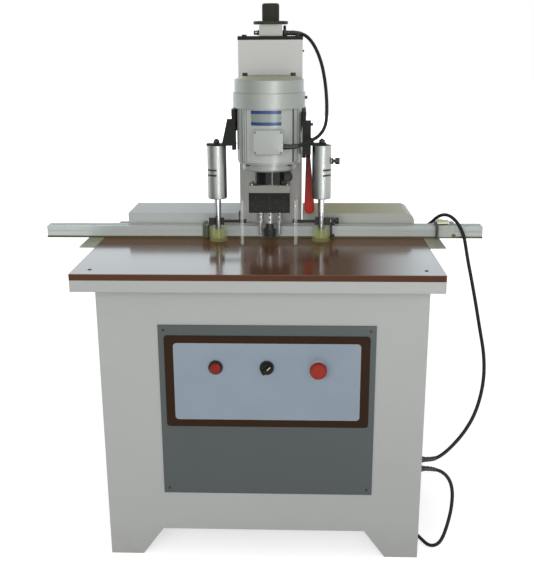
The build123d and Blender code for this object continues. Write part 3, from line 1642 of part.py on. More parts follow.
nodes = {
    "front_wall": make_front_wall(),
    "left_wall": make_side_wall(cabinet_left, cabinet_left + cabinet_sheet),
    "right_wall": make_right_wall(),
    "rear_wall": make_rear_wall(),
    "foot_plates": make_foot_plates(),
    "table_frame": make_table_frame(),
    "table_board": make_table_board(),
    "frame_screws": make_frame_screws(),
    "control_plate": make_control_plate(),
    "panel_overlay": make_panel_overlay(),
    "switch_bodies": make_switch_bodies(),
    "lamp_lens": make_lamp_lens(),
    "selector_knob": make_selector_knob(),
    "stop_button": make_stop_button(),
    "contactor": make_contactor(),
    "air_valve": make_air_valve(),
    "fence": make_fence(),
    "fence_wings": make_fence_wings(),
    "left_stop": make_left_stop(),
    "right_stop": make_right_stop(),
    "end_stop": make_end_stop(),
    "rear_covers": make_rear_covers(),
    "column": make_column(),
    "column_cap": make_column_cap(),
    "guide_rods": make_guide_rods(),
    "lift_cylinder": make_lift_cylinder(),
    "cylinder_head": make_cylinder_head(),
    "lift_rod": make_lift_rod(),
    "depth_knob": make_depth_knob(),
    "carriage": make_carriage(),
    "bearings": make_bearings(),
    "motor_housing": make_motor_housing(),
    "motor_flange": make_motor_flange(),
    "fan_cover": make_fan_cover(),
    "terminal_box": make_terminal_box(),
    "stator": make_stator(),
    "rotor": make_rotor(),
    "clamp_collar": make_clamp_collar(),
    "gearbox": make_gearbox(),
    "gearbox_lid": make_gearbox_lid(),
    "drive_gear": make_drive_gear(),
    "hinge_bit": make_hinge_bit(),
    "left_spindle": make_side_spindle(dowel_xs[0]),
    "right_spindle": make_side_spindle(dowel_xs[1]),
    "head_screws": make_head_screws(),
    "clamp_brackets": [make_clamp_bracket(-1), make_clamp_bracket(1)],
    "clamp_barrels": [make_clamp_barrel(x) for x in clamp_xs],
    "clamp_caps": [make_clamp_cap(x) for x in clamp_xs],
    "clamp_rods": [make_clamp_rod(x) for x in clamp_xs],
    "clamp_pads": [make_clamp_pad(x) for x in clamp_xs],
    "guard_arms": [solid for x in clamp_xs for solid in make_guard_arm(x)],
    "guard": make_guard(),
    "lock_lever": make_lock_lever(),
    "flow_knob": make_flow_knob(),
    "glands": make_glands(),
    "motor_cable": make_motor_cable(),
    "loop_cable": make_loop_cable(),
    "mains_lead": make_mains_lead(),
    "mains_coil": make_mains_coil(),
    "mains_plug": make_mains_plug(),
}

os.makedirs("parts", exist_ok=True)
for name, made in nodes.items():
    solids = made if isinstance(made, list) else [made]
    shape = solids[0] if len(solids) == 1 else Compound(children=solids)
    export_step(shape, f"parts/{name}.step")
print(len(nodes), "nodes")
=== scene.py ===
# %% [markdown]
# A hinge boring machine, dressed for its photograph. The packed CAD model gives every rigid piece and its
# place, in metres. This lesson adds what a CAD model lacks: a camera, soft light, cords that hang, real
# finishes, and the small fittings that make it a machine.

# %% Load the packed machine
import json
import math

import bmesh
import bpy
from mathutils import Matrix, Vector

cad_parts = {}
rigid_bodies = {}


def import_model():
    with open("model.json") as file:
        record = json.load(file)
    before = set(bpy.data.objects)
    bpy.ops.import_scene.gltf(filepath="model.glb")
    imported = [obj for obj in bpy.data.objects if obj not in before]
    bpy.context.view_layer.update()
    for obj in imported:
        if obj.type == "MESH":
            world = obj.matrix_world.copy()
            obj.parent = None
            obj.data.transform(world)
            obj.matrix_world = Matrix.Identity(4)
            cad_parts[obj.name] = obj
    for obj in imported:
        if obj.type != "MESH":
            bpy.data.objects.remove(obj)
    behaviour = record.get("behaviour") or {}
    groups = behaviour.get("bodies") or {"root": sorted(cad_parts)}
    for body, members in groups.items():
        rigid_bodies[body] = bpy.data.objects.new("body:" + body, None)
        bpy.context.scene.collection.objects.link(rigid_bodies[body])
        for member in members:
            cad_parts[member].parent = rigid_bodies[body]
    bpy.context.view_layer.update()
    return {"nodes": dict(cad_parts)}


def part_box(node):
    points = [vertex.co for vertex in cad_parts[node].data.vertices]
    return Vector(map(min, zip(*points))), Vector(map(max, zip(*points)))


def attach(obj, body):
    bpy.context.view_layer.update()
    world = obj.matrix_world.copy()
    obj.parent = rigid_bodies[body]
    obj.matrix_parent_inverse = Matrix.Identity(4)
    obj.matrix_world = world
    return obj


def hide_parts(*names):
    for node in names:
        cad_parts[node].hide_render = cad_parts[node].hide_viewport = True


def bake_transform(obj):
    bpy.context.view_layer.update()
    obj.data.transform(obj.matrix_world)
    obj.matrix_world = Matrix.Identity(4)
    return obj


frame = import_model()
nodes = frame["nodes"]
scene = bpy.context.scene
scene.view_settings.view_transform = "Standard"

# %% [markdown]
# The camera comes first, because cords are judged by what it sees. The place and the angles were fitted to
# corners of the table, the fence and the cabinet that the photograph shows. The focal length is in pixels
# of an image 580 pixels high, and Blender wants it in millimetres of a 36 mm sensor along that side.

# %% Camera
camera_place = Vector((0.0981, -2.2283, 1.3269))
camera_yaw = math.radians(-2.166)
camera_pitch = math.radians(16.378)
camera_roll = math.radians(0.326)
focal_pixels = 839.7
image_height = 580
sensor_width = 36.0

ahead = Vector((
    math.sin(camera_yaw) * math.cos(camera_pitch),
    math.cos(camera_yaw) * math.cos(camera_pitch),
    -math.sin(camera_pitch),
))
level = Vector((math.cos(camera_yaw), -math.sin(camera_yaw), 0.0))
below = ahead.cross(level)
right = math.cos(camera_roll) * level + math.sin(camera_roll) * below
down = math.cos(camera_roll) * below - math.sin(camera_roll) * level

lens = bpy.data.cameras.new("camera")
lens.sensor_width = sensor_width
lens.lens = focal_pixels * sensor_width / image_height
camera = bpy.data.objects.new("camera", lens)
camera_turn = Matrix((right, -down, -ahead)).transposed()
camera.matrix_world = Matrix.Translation(camera_place) @ camera_turn.to_4x4()
scene.collection.objects.link(camera)
scene.camera = camera
print("lens", round(lens.lens, 2), "mm")

# %% [markdown]
# Materials are sums on sockets. They could be drawn by hand in the node editor, but a sum is easier to read
# and to change: a Value wraps a shader socket, so `1 - mask` or `grain * 0.1` adds a Math node.


# %% Shader sums
class Value:
    """A node's socket that takes part in sums."""

    def __init__(self, owner, socket):
        self.owner = owner
        self.socket = socket

    def maths(self, operation, first, second=0.0):
        return self.owner.node("ShaderNodeMath", {"operation": operation}, {0: first, 1: second})

    def __add__(self, other):
        return self.maths("ADD", self, other)

    __radd__ = __add__

    def __sub__(self, other):
        return self.maths("SUBTRACT", self, other)

    def __rsub__(self, other):
        return self.maths("SUBTRACT", other, self)

    def __mul__(self, other):
        return self.maths("MULTIPLY", self, other)

    __rmul__ = __mul__

    def __pow__(self, other):
        return self.maths("POWER", self, other)

    def __lt__(self, other):
        return self.maths("LESS_THAN", self, other)

    def __gt__(self, other):
        return self.maths("GREATER_THAN", self, other)

    def __abs__(self):
        return self.maths("ABSOLUTE", self)

    def least(self, low):
        return self.maths("MAXIMUM", self, low)

    def most(self, high):
        return self.maths("MINIMUM", self, high)

    def between(self, low, high):
        """1 where the value lies between the two, and 0 elsewhere."""
        return (self > low) * (self < high)

    def ramp(self, start, length):
        """0 up to the start, then rising to 1 over the length."""
        return ((self - start) * (1 / length)).least(0.0).most(1.0)


print("beside sums:", [name for name in vars(Value) if not name.startswith("_")])

# %% [markdown]
# A script needs two things from a node tree: new nodes and links between them. The calls for that are the
# same for shaders, for the surround and for Geometry Nodes, so one small class serves them all.


# %% Node trees
class Tree:
    """A node tree under construction, with one method for any node."""

    def __init__(self, tree):
        self.tree = tree

    def join(self, value, socket):
        """Links a Value or a list of them to a socket, or sets what is plain as its default."""
        for one in value if isinstance(value, list) else [value]:
            if isinstance(one, Value):
                self.tree.links.new(one.socket, socket)
            else:
                socket.default_value = one

    def node(self, kind, settings, inputs, output=0):
        made = self.tree.nodes.new(kind)
        for key, value in settings.items():
            setattr(made, key, value)
        for key, value in inputs.items():
            self.join(value, made.inputs[key])
        return Value(self, made.outputs[output])


print("made:", Tree.__doc__)

# %% [markdown]
# A Finish is one material: a Principled shader and what feeds it. Patterns could be pictures, but those
# would need every piece unwrapped. Here they read Object coordinates: every piece sits at the origin, so
# these are metres in the machine's frame.


# %% Finishes
def tone(red, green, blue):
    """A colour as a screen shows it, 0 to 255, as the linear values that a shader takes."""
    parts = [part / 255 for part in (red, green, blue)]
    return (*[p / 12.92 if p < 0.04045 else ((p + 0.055) / 1.055) ** 2.4 for p in parts], 1.0)


class Finish(Tree):
    """One material: a Principled shader and the nodes that feed it."""

    def __init__(self, name, **constants):
        self.material = bpy.data.materials.new(name)
        self.material.use_nodes = True
        super().__init__(self.material.node_tree)
        self.shader = self.tree.nodes["Principled BSDF"]
        self.place = self.node("ShaderNodeTexCoord", {}, {}, "Object")
        self.feed(**constants)

    def feed(self, **inputs):
        """Sets the shader's inputs: coat_weight means its socket Coat Weight."""
        for key, value in inputs.items():
            self.join(value, self.shader.inputs[key.replace("_", " ").title().replace("Ior", "IOR")])

    def cover(self, mask, colour):
        """Lays a colour over what is on Base Color so far, by a mask of 0 to 1."""
        so_far = Value(self, self.shader.inputs["Base Color"].links[0].from_socket)
        self.feed(base_color=self.mix(mask, so_far, colour))

    def axis(self, letter):
        return self.node("ShaderNodeSeparateXYZ", {}, {0: self.place}, letter)

    def noise(self, size, detail=2.0, stretch=(1, 1, 1)):
        """Cloudy noise of that size in metres, drawn out along an axis where stretch is over 1."""
        scale = tuple(1 / (size * share) for share in stretch)
        spot = self.node("ShaderNodeMapping", {}, {"Vector": self.place, "Scale": scale})
        return self.node("ShaderNodeTexNoise", {}, {"Vector": spot, "Scale": 1.0, "Detail": detail})

    def cells(self, size):
        inputs = {"Vector": self.place, "Scale": 1 / size}
        return self.node("ShaderNodeTexVoronoi", {"feature": "F1"}, inputs, "Distance")

    def mix(self, share, first, second):
        inputs = {0: share, 6: first, 7: second}
        return self.node("ShaderNodeMix", {"data_type": "RGBA"}, inputs, 2)

    def bump(self, height, distance, edge=0.0):
        """A Bump node over the height, on a normal that is rounded off at the edges."""
        inputs = {"Height": height, "Distance": distance, "Strength": 1.0}
        if edge:
            inputs["Normal"] = self.node("ShaderNodeBevel", {"samples": 4}, {"Radius": edge})
        return self.node("ShaderNodeBump", {}, inputs)


def smear(finish, amount=0.12, size=0.05):
    """Handling marks: a roughness share that wanders over the surface."""
    return (finish.noise(size, 4.0) - 0.5) * amount


print("middle grey", [round(part, 3) for part in tone(128, 128, 128)])

# %% [markdown]
# Sheet steel here is sprayed with enamel, which dries with a faint orange peel: pale grey on the cabinet,
# the column and the lift's head, and khaki on the fence's wings. One function makes them all, with a wide
# cloud in the colour, fine noise in the bump and some dust near the floor.

# %% Enamels
peel_size = 0.0025
peel_depth = 0.00012
rolled_edge = 0.0012
enamel_rough = 0.42
dust_fade = 9.0
dust_tone = tone(120, 112, 98)


def enamel(name, light, dark, shine=0.5):
    finish = Finish(name, ior=1.5, specular_ior_level=shine)
    finish.feed(base_color=finish.mix(finish.noise(0.4, 3.0), light, dark))
    dust = (1 - finish.axis("Z") * dust_fade).least(0.0) * finish.noise(0.03, 5.0)
    finish.cover(dust * 0.35, dust_tone)
    finish.feed(roughness=enamel_rough + smear(finish))
    finish.feed(normal=finish.bump(finish.noise(peel_size, 1.0), peel_depth, rolled_edge))
    return finish.material


cabinet_enamel = enamel("cabinet_enamel", tone(162, 164, 162), tone(154, 156, 154))
column_enamel = enamel("column_enamel", tone(194, 195, 191), tone(186, 187, 183))
khaki_enamel = enamel("khaki_enamel", tone(152, 154, 134), tone(140, 142, 122), 0.15)
block_enamel = enamel("block_enamel", tone(184, 188, 180), tone(174, 178, 170))
print("materials", len(bpy.data.materials))

# %% [markdown]
# The front plate and the motor have hammer finish, a paint that dries in small dimples. Noise alone would
# look like orange peel, so the dimples are Voronoi cells. On the motor there is some metal in the paint.

# %% Hammer finish
motor_dimple = 0.005
motor_dimple_depth = 0.0001


def hammered(name, light, dark, rough, metallic=0.0, size=motor_dimple, depth=motor_dimple_depth):
    finish = Finish(name, ior=1.5, metallic=metallic)
    cloud = finish.noise(0.25, 3.0)
    flake = finish.noise(size * 0.4, 2.0)
    finish.feed(base_color=finish.mix(cloud * 0.6 + flake * 0.4, light, dark))
    finish.feed(roughness=rough + smear(finish, 0.1))
    finish.feed(normal=finish.bump(finish.cells(size), depth, rolled_edge))
    return finish


panel_enamel = hammered(
    "panel_enamel", tone(62, 71, 70), tone(54, 62, 61), 0.45, size=0.004, depth=0.00015).material
motor_enamel = hammered("motor_enamel", tone(158, 162, 158), tone(145, 149, 145), 0.34, 0.2).material
print("dimples of", motor_dimple * 1000, "mm")

# %% [markdown]
# Three pieces of the motor add something of their own. The shell has a few upright grooves, at angles from
# straight ahead, and their shade is painted on as dark lines. The grooves could be cut into the mesh, but
# they are thin enough to be a mask. The fan cover has more metal in its paint and an olive shoulder, and the
# connection box has a black cable boss on its right.

# %% Motor shell, fan cover and connection box
motor_x = 0.020
motor_y = 0.0655
groove_angles = ((-54, 2.0), (-42, 0.8), (50, 0.9), (62, 1.2), (76, 1.4))
shoulder_height = 1.2348
cable_boss_side = 0.0585
shell_tones = (tone(176, 180, 176), tone(163, 168, 164))

shell_finish = hammered("motor_shell", *shell_tones, 0.34, 0.06)
shell_x = shell_finish.axis("X")
around = shell_x.maths("ARCTAN2", shell_x - motor_x, motor_y - shell_finish.axis("Y"))
# Painted shade: dark lines where the grooves' shade falls, at these angles from straight ahead.
grooves = sum(
    abs(around - math.radians(angle)) < math.radians(half_width) for angle, half_width in groove_angles)
shell_finish.cover(grooves * 0.75, tone(52, 56, 50))

fan_finish = hammered("motor_fan_cover", tone(164, 168, 163), tone(152, 157, 152), 0.44, 0.4)
fan_finish.cover((fan_finish.axis("Z") > shoulder_height) * 0.8, tone(138, 138, 112))

box_finish = hammered("motor_box", *shell_tones, 0.34, 0.06)
box_finish.cover(box_finish.axis("X") > cable_boss_side, tone(34, 35, 33))
print("grooves", len(groove_angles))

# %% [markdown]
# The lever is red, and a painted shade darkens it towards its pin. Paint on the mesh's points would need
# more points than the lever has, so its height along Z gives the share.

# %% Lever
lever_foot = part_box("lock_lever")[0].z
shade_start = 0.03
shade_length = 0.11
lever_finish = Finish("lever_enamel", specular_ior_level=0.25)
# Painted shade: the lever's red darkens towards its pin.
lever_shade = lever_finish.axis("Z").ramp(lever_foot + shade_start, shade_length)
lever_finish.feed(base_color=lever_finish.mix(lever_shade, tone(184, 50, 38), tone(92, 42, 40)))
lever_finish.feed(roughness=0.32 + smear(lever_finish, 0.15, 0.02))
lever_finish.feed(normal=lever_finish.bump(lever_finish.noise(0.002, 1.0), 0.0001, 0.0008))
print("lever darkens from", round(lever_foot + shade_start, 3), "m up")

# %% [markdown]
# The rear covers differ in colour: the left one is whitish, and the right one has a painted khaki reflection
# on its top. They are one node, so one material tells them apart by X and by height.

# %% Rear covers
cover_split = 0.02
cover_shoulder = 0.8590
cover_finish = Finish("cover_enamel", roughness=0.45, specular_ior_level=0.15)
cover_cloud = cover_finish.noise(0.3, 3.0)
cover_finish.feed(base_color=cover_finish.mix(cover_cloud, tone(185, 188, 185), tone(177, 180, 177)))
# Painted reflection: khaki on the right cover's top.
painted_reflection_top = cover_finish.axis("Z") > cover_shoulder
right_cover_and_reflection = cover_finish.mix(painted_reflection_top, tone(172, 174, 167), tone(172, 170, 136))
cover_finish.cover(cover_finish.axis("X") > cover_split, right_cover_and_reflection)
cover_finish.feed(normal=cover_finish.bump(cover_finish.noise(peel_size, 1.0), peel_depth, 0.0015))
print("covers part at", cover_split, "m")

# %% [markdown]
# The table is a board with a glossy dark brown laminate. Its gloss does most of its look: at the low angle
# of the photograph it mirrors the bright room, and its own brown shows only where it mirrors something
# dark. A clear coat does that on the top. The edge band has little of it. Along the fence, a lighter brown
# with less coat is a painted reflection of the fence.

# %% Laminate
edge_band_top = 0.7985
fence_reflection_start = -0.05
fence_reflection_length = 0.07
laminate = Finish("laminate", specular_ior_level=0.0, coat_roughness=0.14, coat_ior=1.42)
figure = laminate.noise(0.03, 5.0, (6, 1, 1))
fleck = laminate.noise(0.0015, 2.0)
laminate.feed(base_color=laminate.mix(figure * 0.7 + fleck * 0.3, tone(108, 72, 48), tone(82, 54, 36)))
# Painted reflection of the fence: a lighter brown with less coat along the fence.
fence_reflection = laminate.axis("Y").ramp(fence_reflection_start, fence_reflection_length)
edge_band = laminate.axis("Z") < edge_band_top
laminate.cover(fence_reflection * 0.5, tone(124, 96, 64))
laminate.cover(edge_band * 0.7, tone(70, 44, 34))
laminate.feed(roughness=0.3 + smear(laminate, 0.1, 0.08))
laminate.feed(coat_weight=(1 - edge_band * 0.85) * (1 - fence_reflection * 0.7))
laminate.feed(normal=laminate.bump(laminate.noise(0.004, 1.0), 0.00002, 0.0012))
print("rubbed over", fence_reflection_length, "m")

# %% [markdown]
# Bare metals differ by how they were worked. A milled plate has marks in its plane, and a ground rod or a
# turned shaft has fine rings round its axis. A real tool mark is too fine to model, so each metal is one
# stretched noise that drives colour and roughness together.


# %% Bright metals
def metal(
        name, light, dark, rough, size, stretch=(1, 1, 1), worn=0.25, metallic=1.0, edge=0.0006, shine=0.5):
    finish = Finish(name, metallic=metallic, specular_ior_level=shine)
    streak = finish.noise(size, 3.0, stretch)
    mark = finish.noise(0.03, 5.0)
    finish.feed(base_color=finish.mix(streak * 0.7 + mark * 0.3, light, dark))
    finish.feed(roughness=rough + (streak - 0.5) * worn + (mark - 0.5) * 0.1)
    finish.feed(normal=finish.bump(streak, 0.00002, edge))
    return finish


milled = (6, 6, 1)
turned_shaft = (1, 1, 0.2)
nose_tones = (tone(206, 207, 204), tone(172, 174, 172))
iron_tones = (tone(120, 118, 114), tone(86, 84, 80))
nose_top = 0.9

plate_metal = metal(
    "milled_aluminium", tone(205, 208, 202), tone(180, 184, 178), 0.42, 0.004, milled).material
rod_metal = metal(
    "ground_steel", tone(206, 208, 208), tone(176, 178, 180), 0.16, 0.0015, (1, 1, 0.3)).material
bit_metal = metal("tool_steel", tone(160, 160, 158), tone(112, 112, 110), 0.34, 0.003).material
brass_metal = metal("turned_brass", tone(214, 178, 104), tone(180, 140, 76), 0.3, 0.002).material
iron_metal = metal("plain_iron", *iron_tones, 0.5, 0.004, turned_shaft).material
nose_metal = metal("spindle_steel", *nose_tones, 0.26, 0.003, worn=0.2, metallic=0.7).material
lid_metal = metal(
    "cast_lid", tone(138, 141, 134), tone(122, 125, 118), 0.5, 0.004, milled, worn=0.2,
    metallic=0.3).material
rotor_finish = metal("shaft_iron", *iron_tones, 0.36, 0.004, turned_shaft, worn=0.2, metallic=0.7)
rotor_finish.cover(rotor_finish.axis("Z") < nose_top, nose_tones[0])
print("materials", len(bpy.data.materials))

# %% [markdown]
# The fence is an aluminium extrusion, so its streaks run along X. Its foot has a painted shade, a dark olive
# band along the table, and it turns greyer towards its right end. Both are masks by place, because the fence
# is one long piece.

# %% Fence
fence_shade_top = 0.8045
dull_start = 0.2
dull_length = 0.3
fence_finish = metal(
    "extruded_aluminium", tone(194, 200, 198), tone(178, 184, 182), 0.5, 0.0025, (80, 1, 1),
    worn=0.15, metallic=0.25, shine=0.2)
fence_finish.cover(fence_finish.axis("X").ramp(dull_start, dull_length) * 0.6, tone(150, 154, 150))
# Painted shade: a dark olive band along the fence's foot.
fence_finish.cover(fence_finish.axis("Z") < fence_shade_top, tone(92, 90, 66))
print("fence dulls from", dull_start, "m on")

# %% [markdown]
# Blackened steel is dull with a worn sheen, and the gear head is a black casting. The guard's arms hold set
# screws at their outer sides, which a mask by X paints bright as a painted glint. The collar under the motor
# is polished, so it has a clear coat and no other shine.

# %% Dark metals
arm_glint_sides = (-0.14705, 0.18705)
collar_coat = {"coat_weight": 0.5, "coat_ior": 1.5, "coat_roughness": 0.1}
arm_tones = (tone(46, 48, 44), tone(32, 34, 31))

dark_metal = metal(
    "blackened_steel", tone(35, 38, 33), tone(22, 25, 21), 0.5, 0.006, worn=0.2, metallic=0.35,
    edge=0.001, shine=0.2).material
oxide_metal = metal(
    "black_oxide", tone(46, 48, 44), tone(30, 32, 29), 0.5, 0.004, worn=0.15, metallic=0.2,
    edge=0.0005).material
gear_metal = metal(
    "black_casting", tone(30, 32, 28), tone(22, 24, 21), 0.6, 0.006, worn=0.1, metallic=0.05,
    edge=0.001, shine=0.25).material
cutter_metal = metal(
    "cutter_steel", tone(44, 46, 42), tone(32, 34, 31), 0.45, 0.003, worn=0.2, metallic=0.3).material
arm_finish = metal("blackened_arm", *arm_tones, 0.5, 0.004, worn=0.15, metallic=0.2)
arm_x = arm_finish.axis("X")
# Painted glint: the outer set screws are painted bright.
arm_finish.cover((arm_x < arm_glint_sides[0]) + (arm_x > arm_glint_sides[1]), tone(196, 198, 196))
collar_metal = metal(
    "polished_black", tone(30, 32, 28), tone(20, 22, 19), 0.3, 0.003, worn=0.1, metallic=0.1,
    edge=0.001, shine=0.0)
collar_metal.feed(**collar_coat)
print("materials", len(bpy.data.materials))

# %% [markdown]
# Each clamp barrel carries two short black marks on its outer half. They are printed, so they are a mask in
# the barrel's own material, by height and by side. The right barrel's throttle boss is black too.

# %% Marks on the barrels
mark_heights = (0.999, 0.985)
mark_tall = 0.005
mark_sides = ((-0.16, -0.121), (0.165, 0.19))
mark_back = 0.048
boss_side = 0.1882
barrel_metal = metal(
    "turned_aluminium", tone(170, 173, 170), tone(158, 162, 159), 0.4, 0.0012, (30, 30, 1), worn=0.08)
barrel_x = barrel_metal.axis("X")
barrel_z = barrel_metal.axis("Z")
marked_side = sum(barrel_x.between(*span) for span in mark_sides) * (barrel_metal.axis("Y") < mark_back)
marked_height = sum(abs(barrel_z - height) < mark_tall / 2 for height in mark_heights)
blackened = marked_side * marked_height + (barrel_x > boss_side)
barrel_metal.cover(blackened, tone(28, 29, 28))
barrel_metal.feed(metallic=1 - blackened)
print("marks", len(mark_heights) * len(mark_sides))

# %% [markdown]
# The stops are built up from pieces of different finish, which the mesh holds as one. The left one is
# olive, the right one is dark with a pale side, and the end one has a cream plate, a pale body and a dark
# foot, with a painted shadow as a dark band under the plate. Masks by place do what separate materials would
# do on separate pieces, and paint that shadow.

# %% Stops
right_side = 0.1945
right_span = (0.812, 0.836)
right_tip = 0.2135
cream_bottom = 0.8405
plate_shadow_bottom = 0.8375
shoe_side = 0.4885
shoe_top = 0.837
foot_side = 0.528
foot_top = 0.8125


def stop_finish(name, light, dark):
    return metal(name, light, dark, 0.5, 0.004, worn=0.2, metallic=0.2)


left_finish = stop_finish("left_stop_metal", tone(104, 110, 94), tone(84, 90, 76))
right_finish = stop_finish("right_stop_metal", tone(46, 50, 44), tone(34, 37, 32))
right_x = right_finish.axis("X")
right_pale = (right_x > right_side) * right_finish.axis("Z").between(*right_span) + (right_x > right_tip)
right_finish.cover(right_pale, tone(186, 190, 188))

end_finish = stop_finish("end_stop_metal", tone(158, 162, 156), tone(140, 145, 138))
end_x = end_finish.axis("X")
end_z = end_finish.axis("Z")
end_shoe = (end_x < shoe_side) * (end_z < shoe_top)
end_foot = (end_x > foot_side) * (end_z < foot_top)
end_finish.cover(end_z > cream_bottom, tone(196, 200, 172))
# Painted shadow: a dark band under the cream plate; the shoe on the left and the foot are dark too.
end_finish.cover(end_z.between(plate_shadow_bottom, cream_bottom) + end_shoe + end_foot, tone(62, 66, 54))
print("materials", len(bpy.data.materials))

# %% [markdown]
# Plastics: black for knobs and glands, red for the lamp and the stop button. Moulded plastic has a fine
# spark texture, which is noise of about half a millimetre. The switches' bodies are one node with two
# colours, so a mask by X tells the stop button's pale collar from the dark rings of the other two.

# %% Plastics
spark_size = 0.0006
stop_collar_side = 0.09


def plastic(name, light, dark, rough, coat=0.0, edge=0.0006, shine=0.5):
    finish = Finish(name, coat_weight=coat, coat_roughness=0.12, specular_ior_level=shine)
    spark = finish.noise(spark_size, 1.0)
    cloud = finish.noise(0.02, 4.0)
    finish.feed(base_color=finish.mix(cloud, light, dark), roughness=rough + (spark - 0.5) * 0.2)
    finish.feed(normal=finish.bump(spark, 0.00002, edge))
    return finish


black_plastic = plastic("black_plastic", tone(46, 47, 44), tone(34, 35, 33), 0.45).material
selector_plastic = plastic("selector_plastic", tone(34, 36, 31), tone(26, 28, 24), 0.5, shine=0.1).material
grip_plastic = plastic("grip_plastic", tone(52, 54, 47), tone(42, 44, 38), 0.6, shine=0.2).material
red_plastic = plastic("red_plastic", tone(142, 46, 36), tone(132, 40, 30), 0.4, 0.05, shine=0.1).material
lens_plastic = plastic("lens_plastic", tone(128, 36, 22), tone(112, 28, 16), 0.25, 0.1, shine=0.1).material
switch_finish = plastic("switch_plastic", tone(40, 41, 39), tone(30, 31, 29), 0.4, shine=0.15)
switch_finish.cover(switch_finish.axis("X") > stop_collar_side, tone(206, 208, 204))
print("materials", len(bpy.data.materials))

# %% [markdown]
# The guard is a bent sheet of clear acrylic. Its front is nearly invisible, and its flanks, which the
# camera sees almost edge on, gather light and look milky. Real refraction would need many bounces of light,
# so the sheet is see-through by its alpha, and less so on the flanks and along fine scratches. The clamps'
# pads are soft clear rubber, made the same way.

# %% Clear guard and pads
flank_wide = 0.0095
guard_low, guard_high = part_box("guard")
guard_middle = (guard_low.x + guard_high.x) / 2
guard_half = (guard_high.x - guard_low.x) / 2
guard_sheet = Finish("clear_acrylic", ior=1.49, roughness=0.06)
flank = abs(guard_sheet.axis("X") - guard_middle) > guard_half - flank_wide
scratch = guard_sheet.noise(0.004, 4.0, (1, 1, 8)) > 0.7
haze = guard_sheet.noise(0.05, 3.0)
guard_sheet.feed(base_color=guard_sheet.mix(haze, tone(226, 232, 230), tone(208, 216, 214)))
guard_sheet.feed(alpha=0.006 + flank * 0.26 + scratch * 0.02)

pad_rubber = Finish("pad_rubber", alpha=0.18, ior=1.4)
pad_cloud = pad_rubber.noise(0.02, 3.0)
pad_rubber.feed(base_color=pad_rubber.mix(pad_cloud, tone(210, 218, 144), tone(194, 204, 122)))
pad_rubber.feed(roughness=0.22 + smear(pad_rubber, 0.1, 0.02))
print("guard", round(2 * guard_half, 3), "m wide")

# %% [markdown]
# The plate behind the switches is a printed film: a pale blue field with round corners inside a brown
# border, with a painted highlight as a pale line along the field's edge. A rounded rectangle is a sum: the
# distance outside an inner rectangle, against the corner's radius. That keeps the edge sharp at any size,
# which a picture wouldn't.

# %% Printed plate
field_half = (0.234, 0.1025)
field_corner = 0.008
rim_highlight_wide = 0.0012
plate_low, plate_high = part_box("panel_overlay")
plate_middle = (plate_low + plate_high) / 2
print_finish = Finish("panel_print", specular_ior_level=0.05, coat_roughness=0.2)
past_side = (abs(print_finish.axis("X") - plate_middle.x) - (field_half[0] - field_corner)).least(0.0)
past_top = (abs(print_finish.axis("Z") - plate_middle.z) - (field_half[1] - field_corner)).least(0.0)
from_corner = (past_side * past_side + past_top * past_top) ** 0.5
field = from_corner < field_corner
# Painted highlight: a pale line just outside the field's rounded edge.
painted_rim_highlight = (from_corner < field_corner + rim_highlight_wide) - field
film = print_finish.noise(0.09, 3.0)
print_finish.feed(base_color=print_finish.mix(film, tone(50, 35, 25), tone(44, 30, 21)))
print_finish.cover(field, print_finish.mix(film, tone(134, 147, 158), tone(126, 139, 150)))
print_finish.cover(painted_rim_highlight * 0.5, tone(196, 200, 200))
print_finish.feed(roughness=0.4 + smear(print_finish, 0.08), coat_weight=field * 0.3)
print_finish.feed(normal=print_finish.bump(print_finish.noise(0.0012, 1.0), 0.00002, 0.0006))
print("printed field", 2 * field_half[0], "by", 2 * field_half[1], "m")

# %% [markdown]
# Every CAD node now gets its finish. They could be set one by one, but a table is easier to check against
# the photograph.

# %% Finishes of the nodes
finishes = {
    cabinet_enamel: "front_wall left_wall right_wall rear_wall foot_plates table_frame",
    laminate.material: "table_board",
    panel_enamel: "control_plate",
    print_finish.material: "panel_overlay",
    switch_finish.material: "switch_bodies",
    lens_plastic: "lamp_lens",
    red_plastic: "stop_button",
    selector_plastic: "selector_knob",
    black_plastic: "contactor flow_knob",
    left_finish.material: "left_stop",
    right_finish.material: "right_stop",
    end_finish.material: "end_stop",
    collar_metal.material: "clamp_collar",
    plate_metal: "air_valve carriage lift_cylinder",
    lid_metal: "gearbox_lid",
    block_enamel: "cylinder_head",
    gear_metal: "gearbox",
    shell_finish.material: "motor_housing",
    fan_finish.material: "fan_cover",
    box_finish.material: "terminal_box",
    fence_finish.material: "fence",
    khaki_enamel: "fence_wings",
    dark_metal: "column_cap clamp_brackets clamp_caps",
    arm_finish.material: "guard_arms",
    cover_finish.material: "rear_covers",
    column_enamel: "column",
    grip_plastic: "depth_knob",
    motor_enamel: "motor_flange",
    iron_metal: "stator",
    rotor_finish.material: "rotor",
    brass_metal: "bearings",
    cutter_metal: "hinge_bit",
    nose_metal: "drive_gear left_spindle right_spindle",
    rod_metal: "guide_rods lift_rod clamp_rods",
    barrel_metal.material: "clamp_barrels",
    pad_rubber.material: "clamp_pads",
    guard_sheet.material: "guard",
    lever_finish.material: "lock_lever",
}
for material, names in finishes.items():
    for name in names.split():
        nodes[name].data.materials.clear()
        nodes[name].data.materials.append(material)
print("finished nodes", sum(len(names.split()) for names in finishes.values()))

# %% [markdown]
# Cords. Each is a fixed length of cable on one smooth line. A simulated cord would settle a little
# differently each time, so the line is a NURBS spline whose control points are those of the CAD route.

# %% Cord tools
cable_diameter = 0.0095
line_fineness = 24


def link(name, data):
    made = bpy.data.objects.new(name, data)
    scene.collection.objects.link(made)
    return made


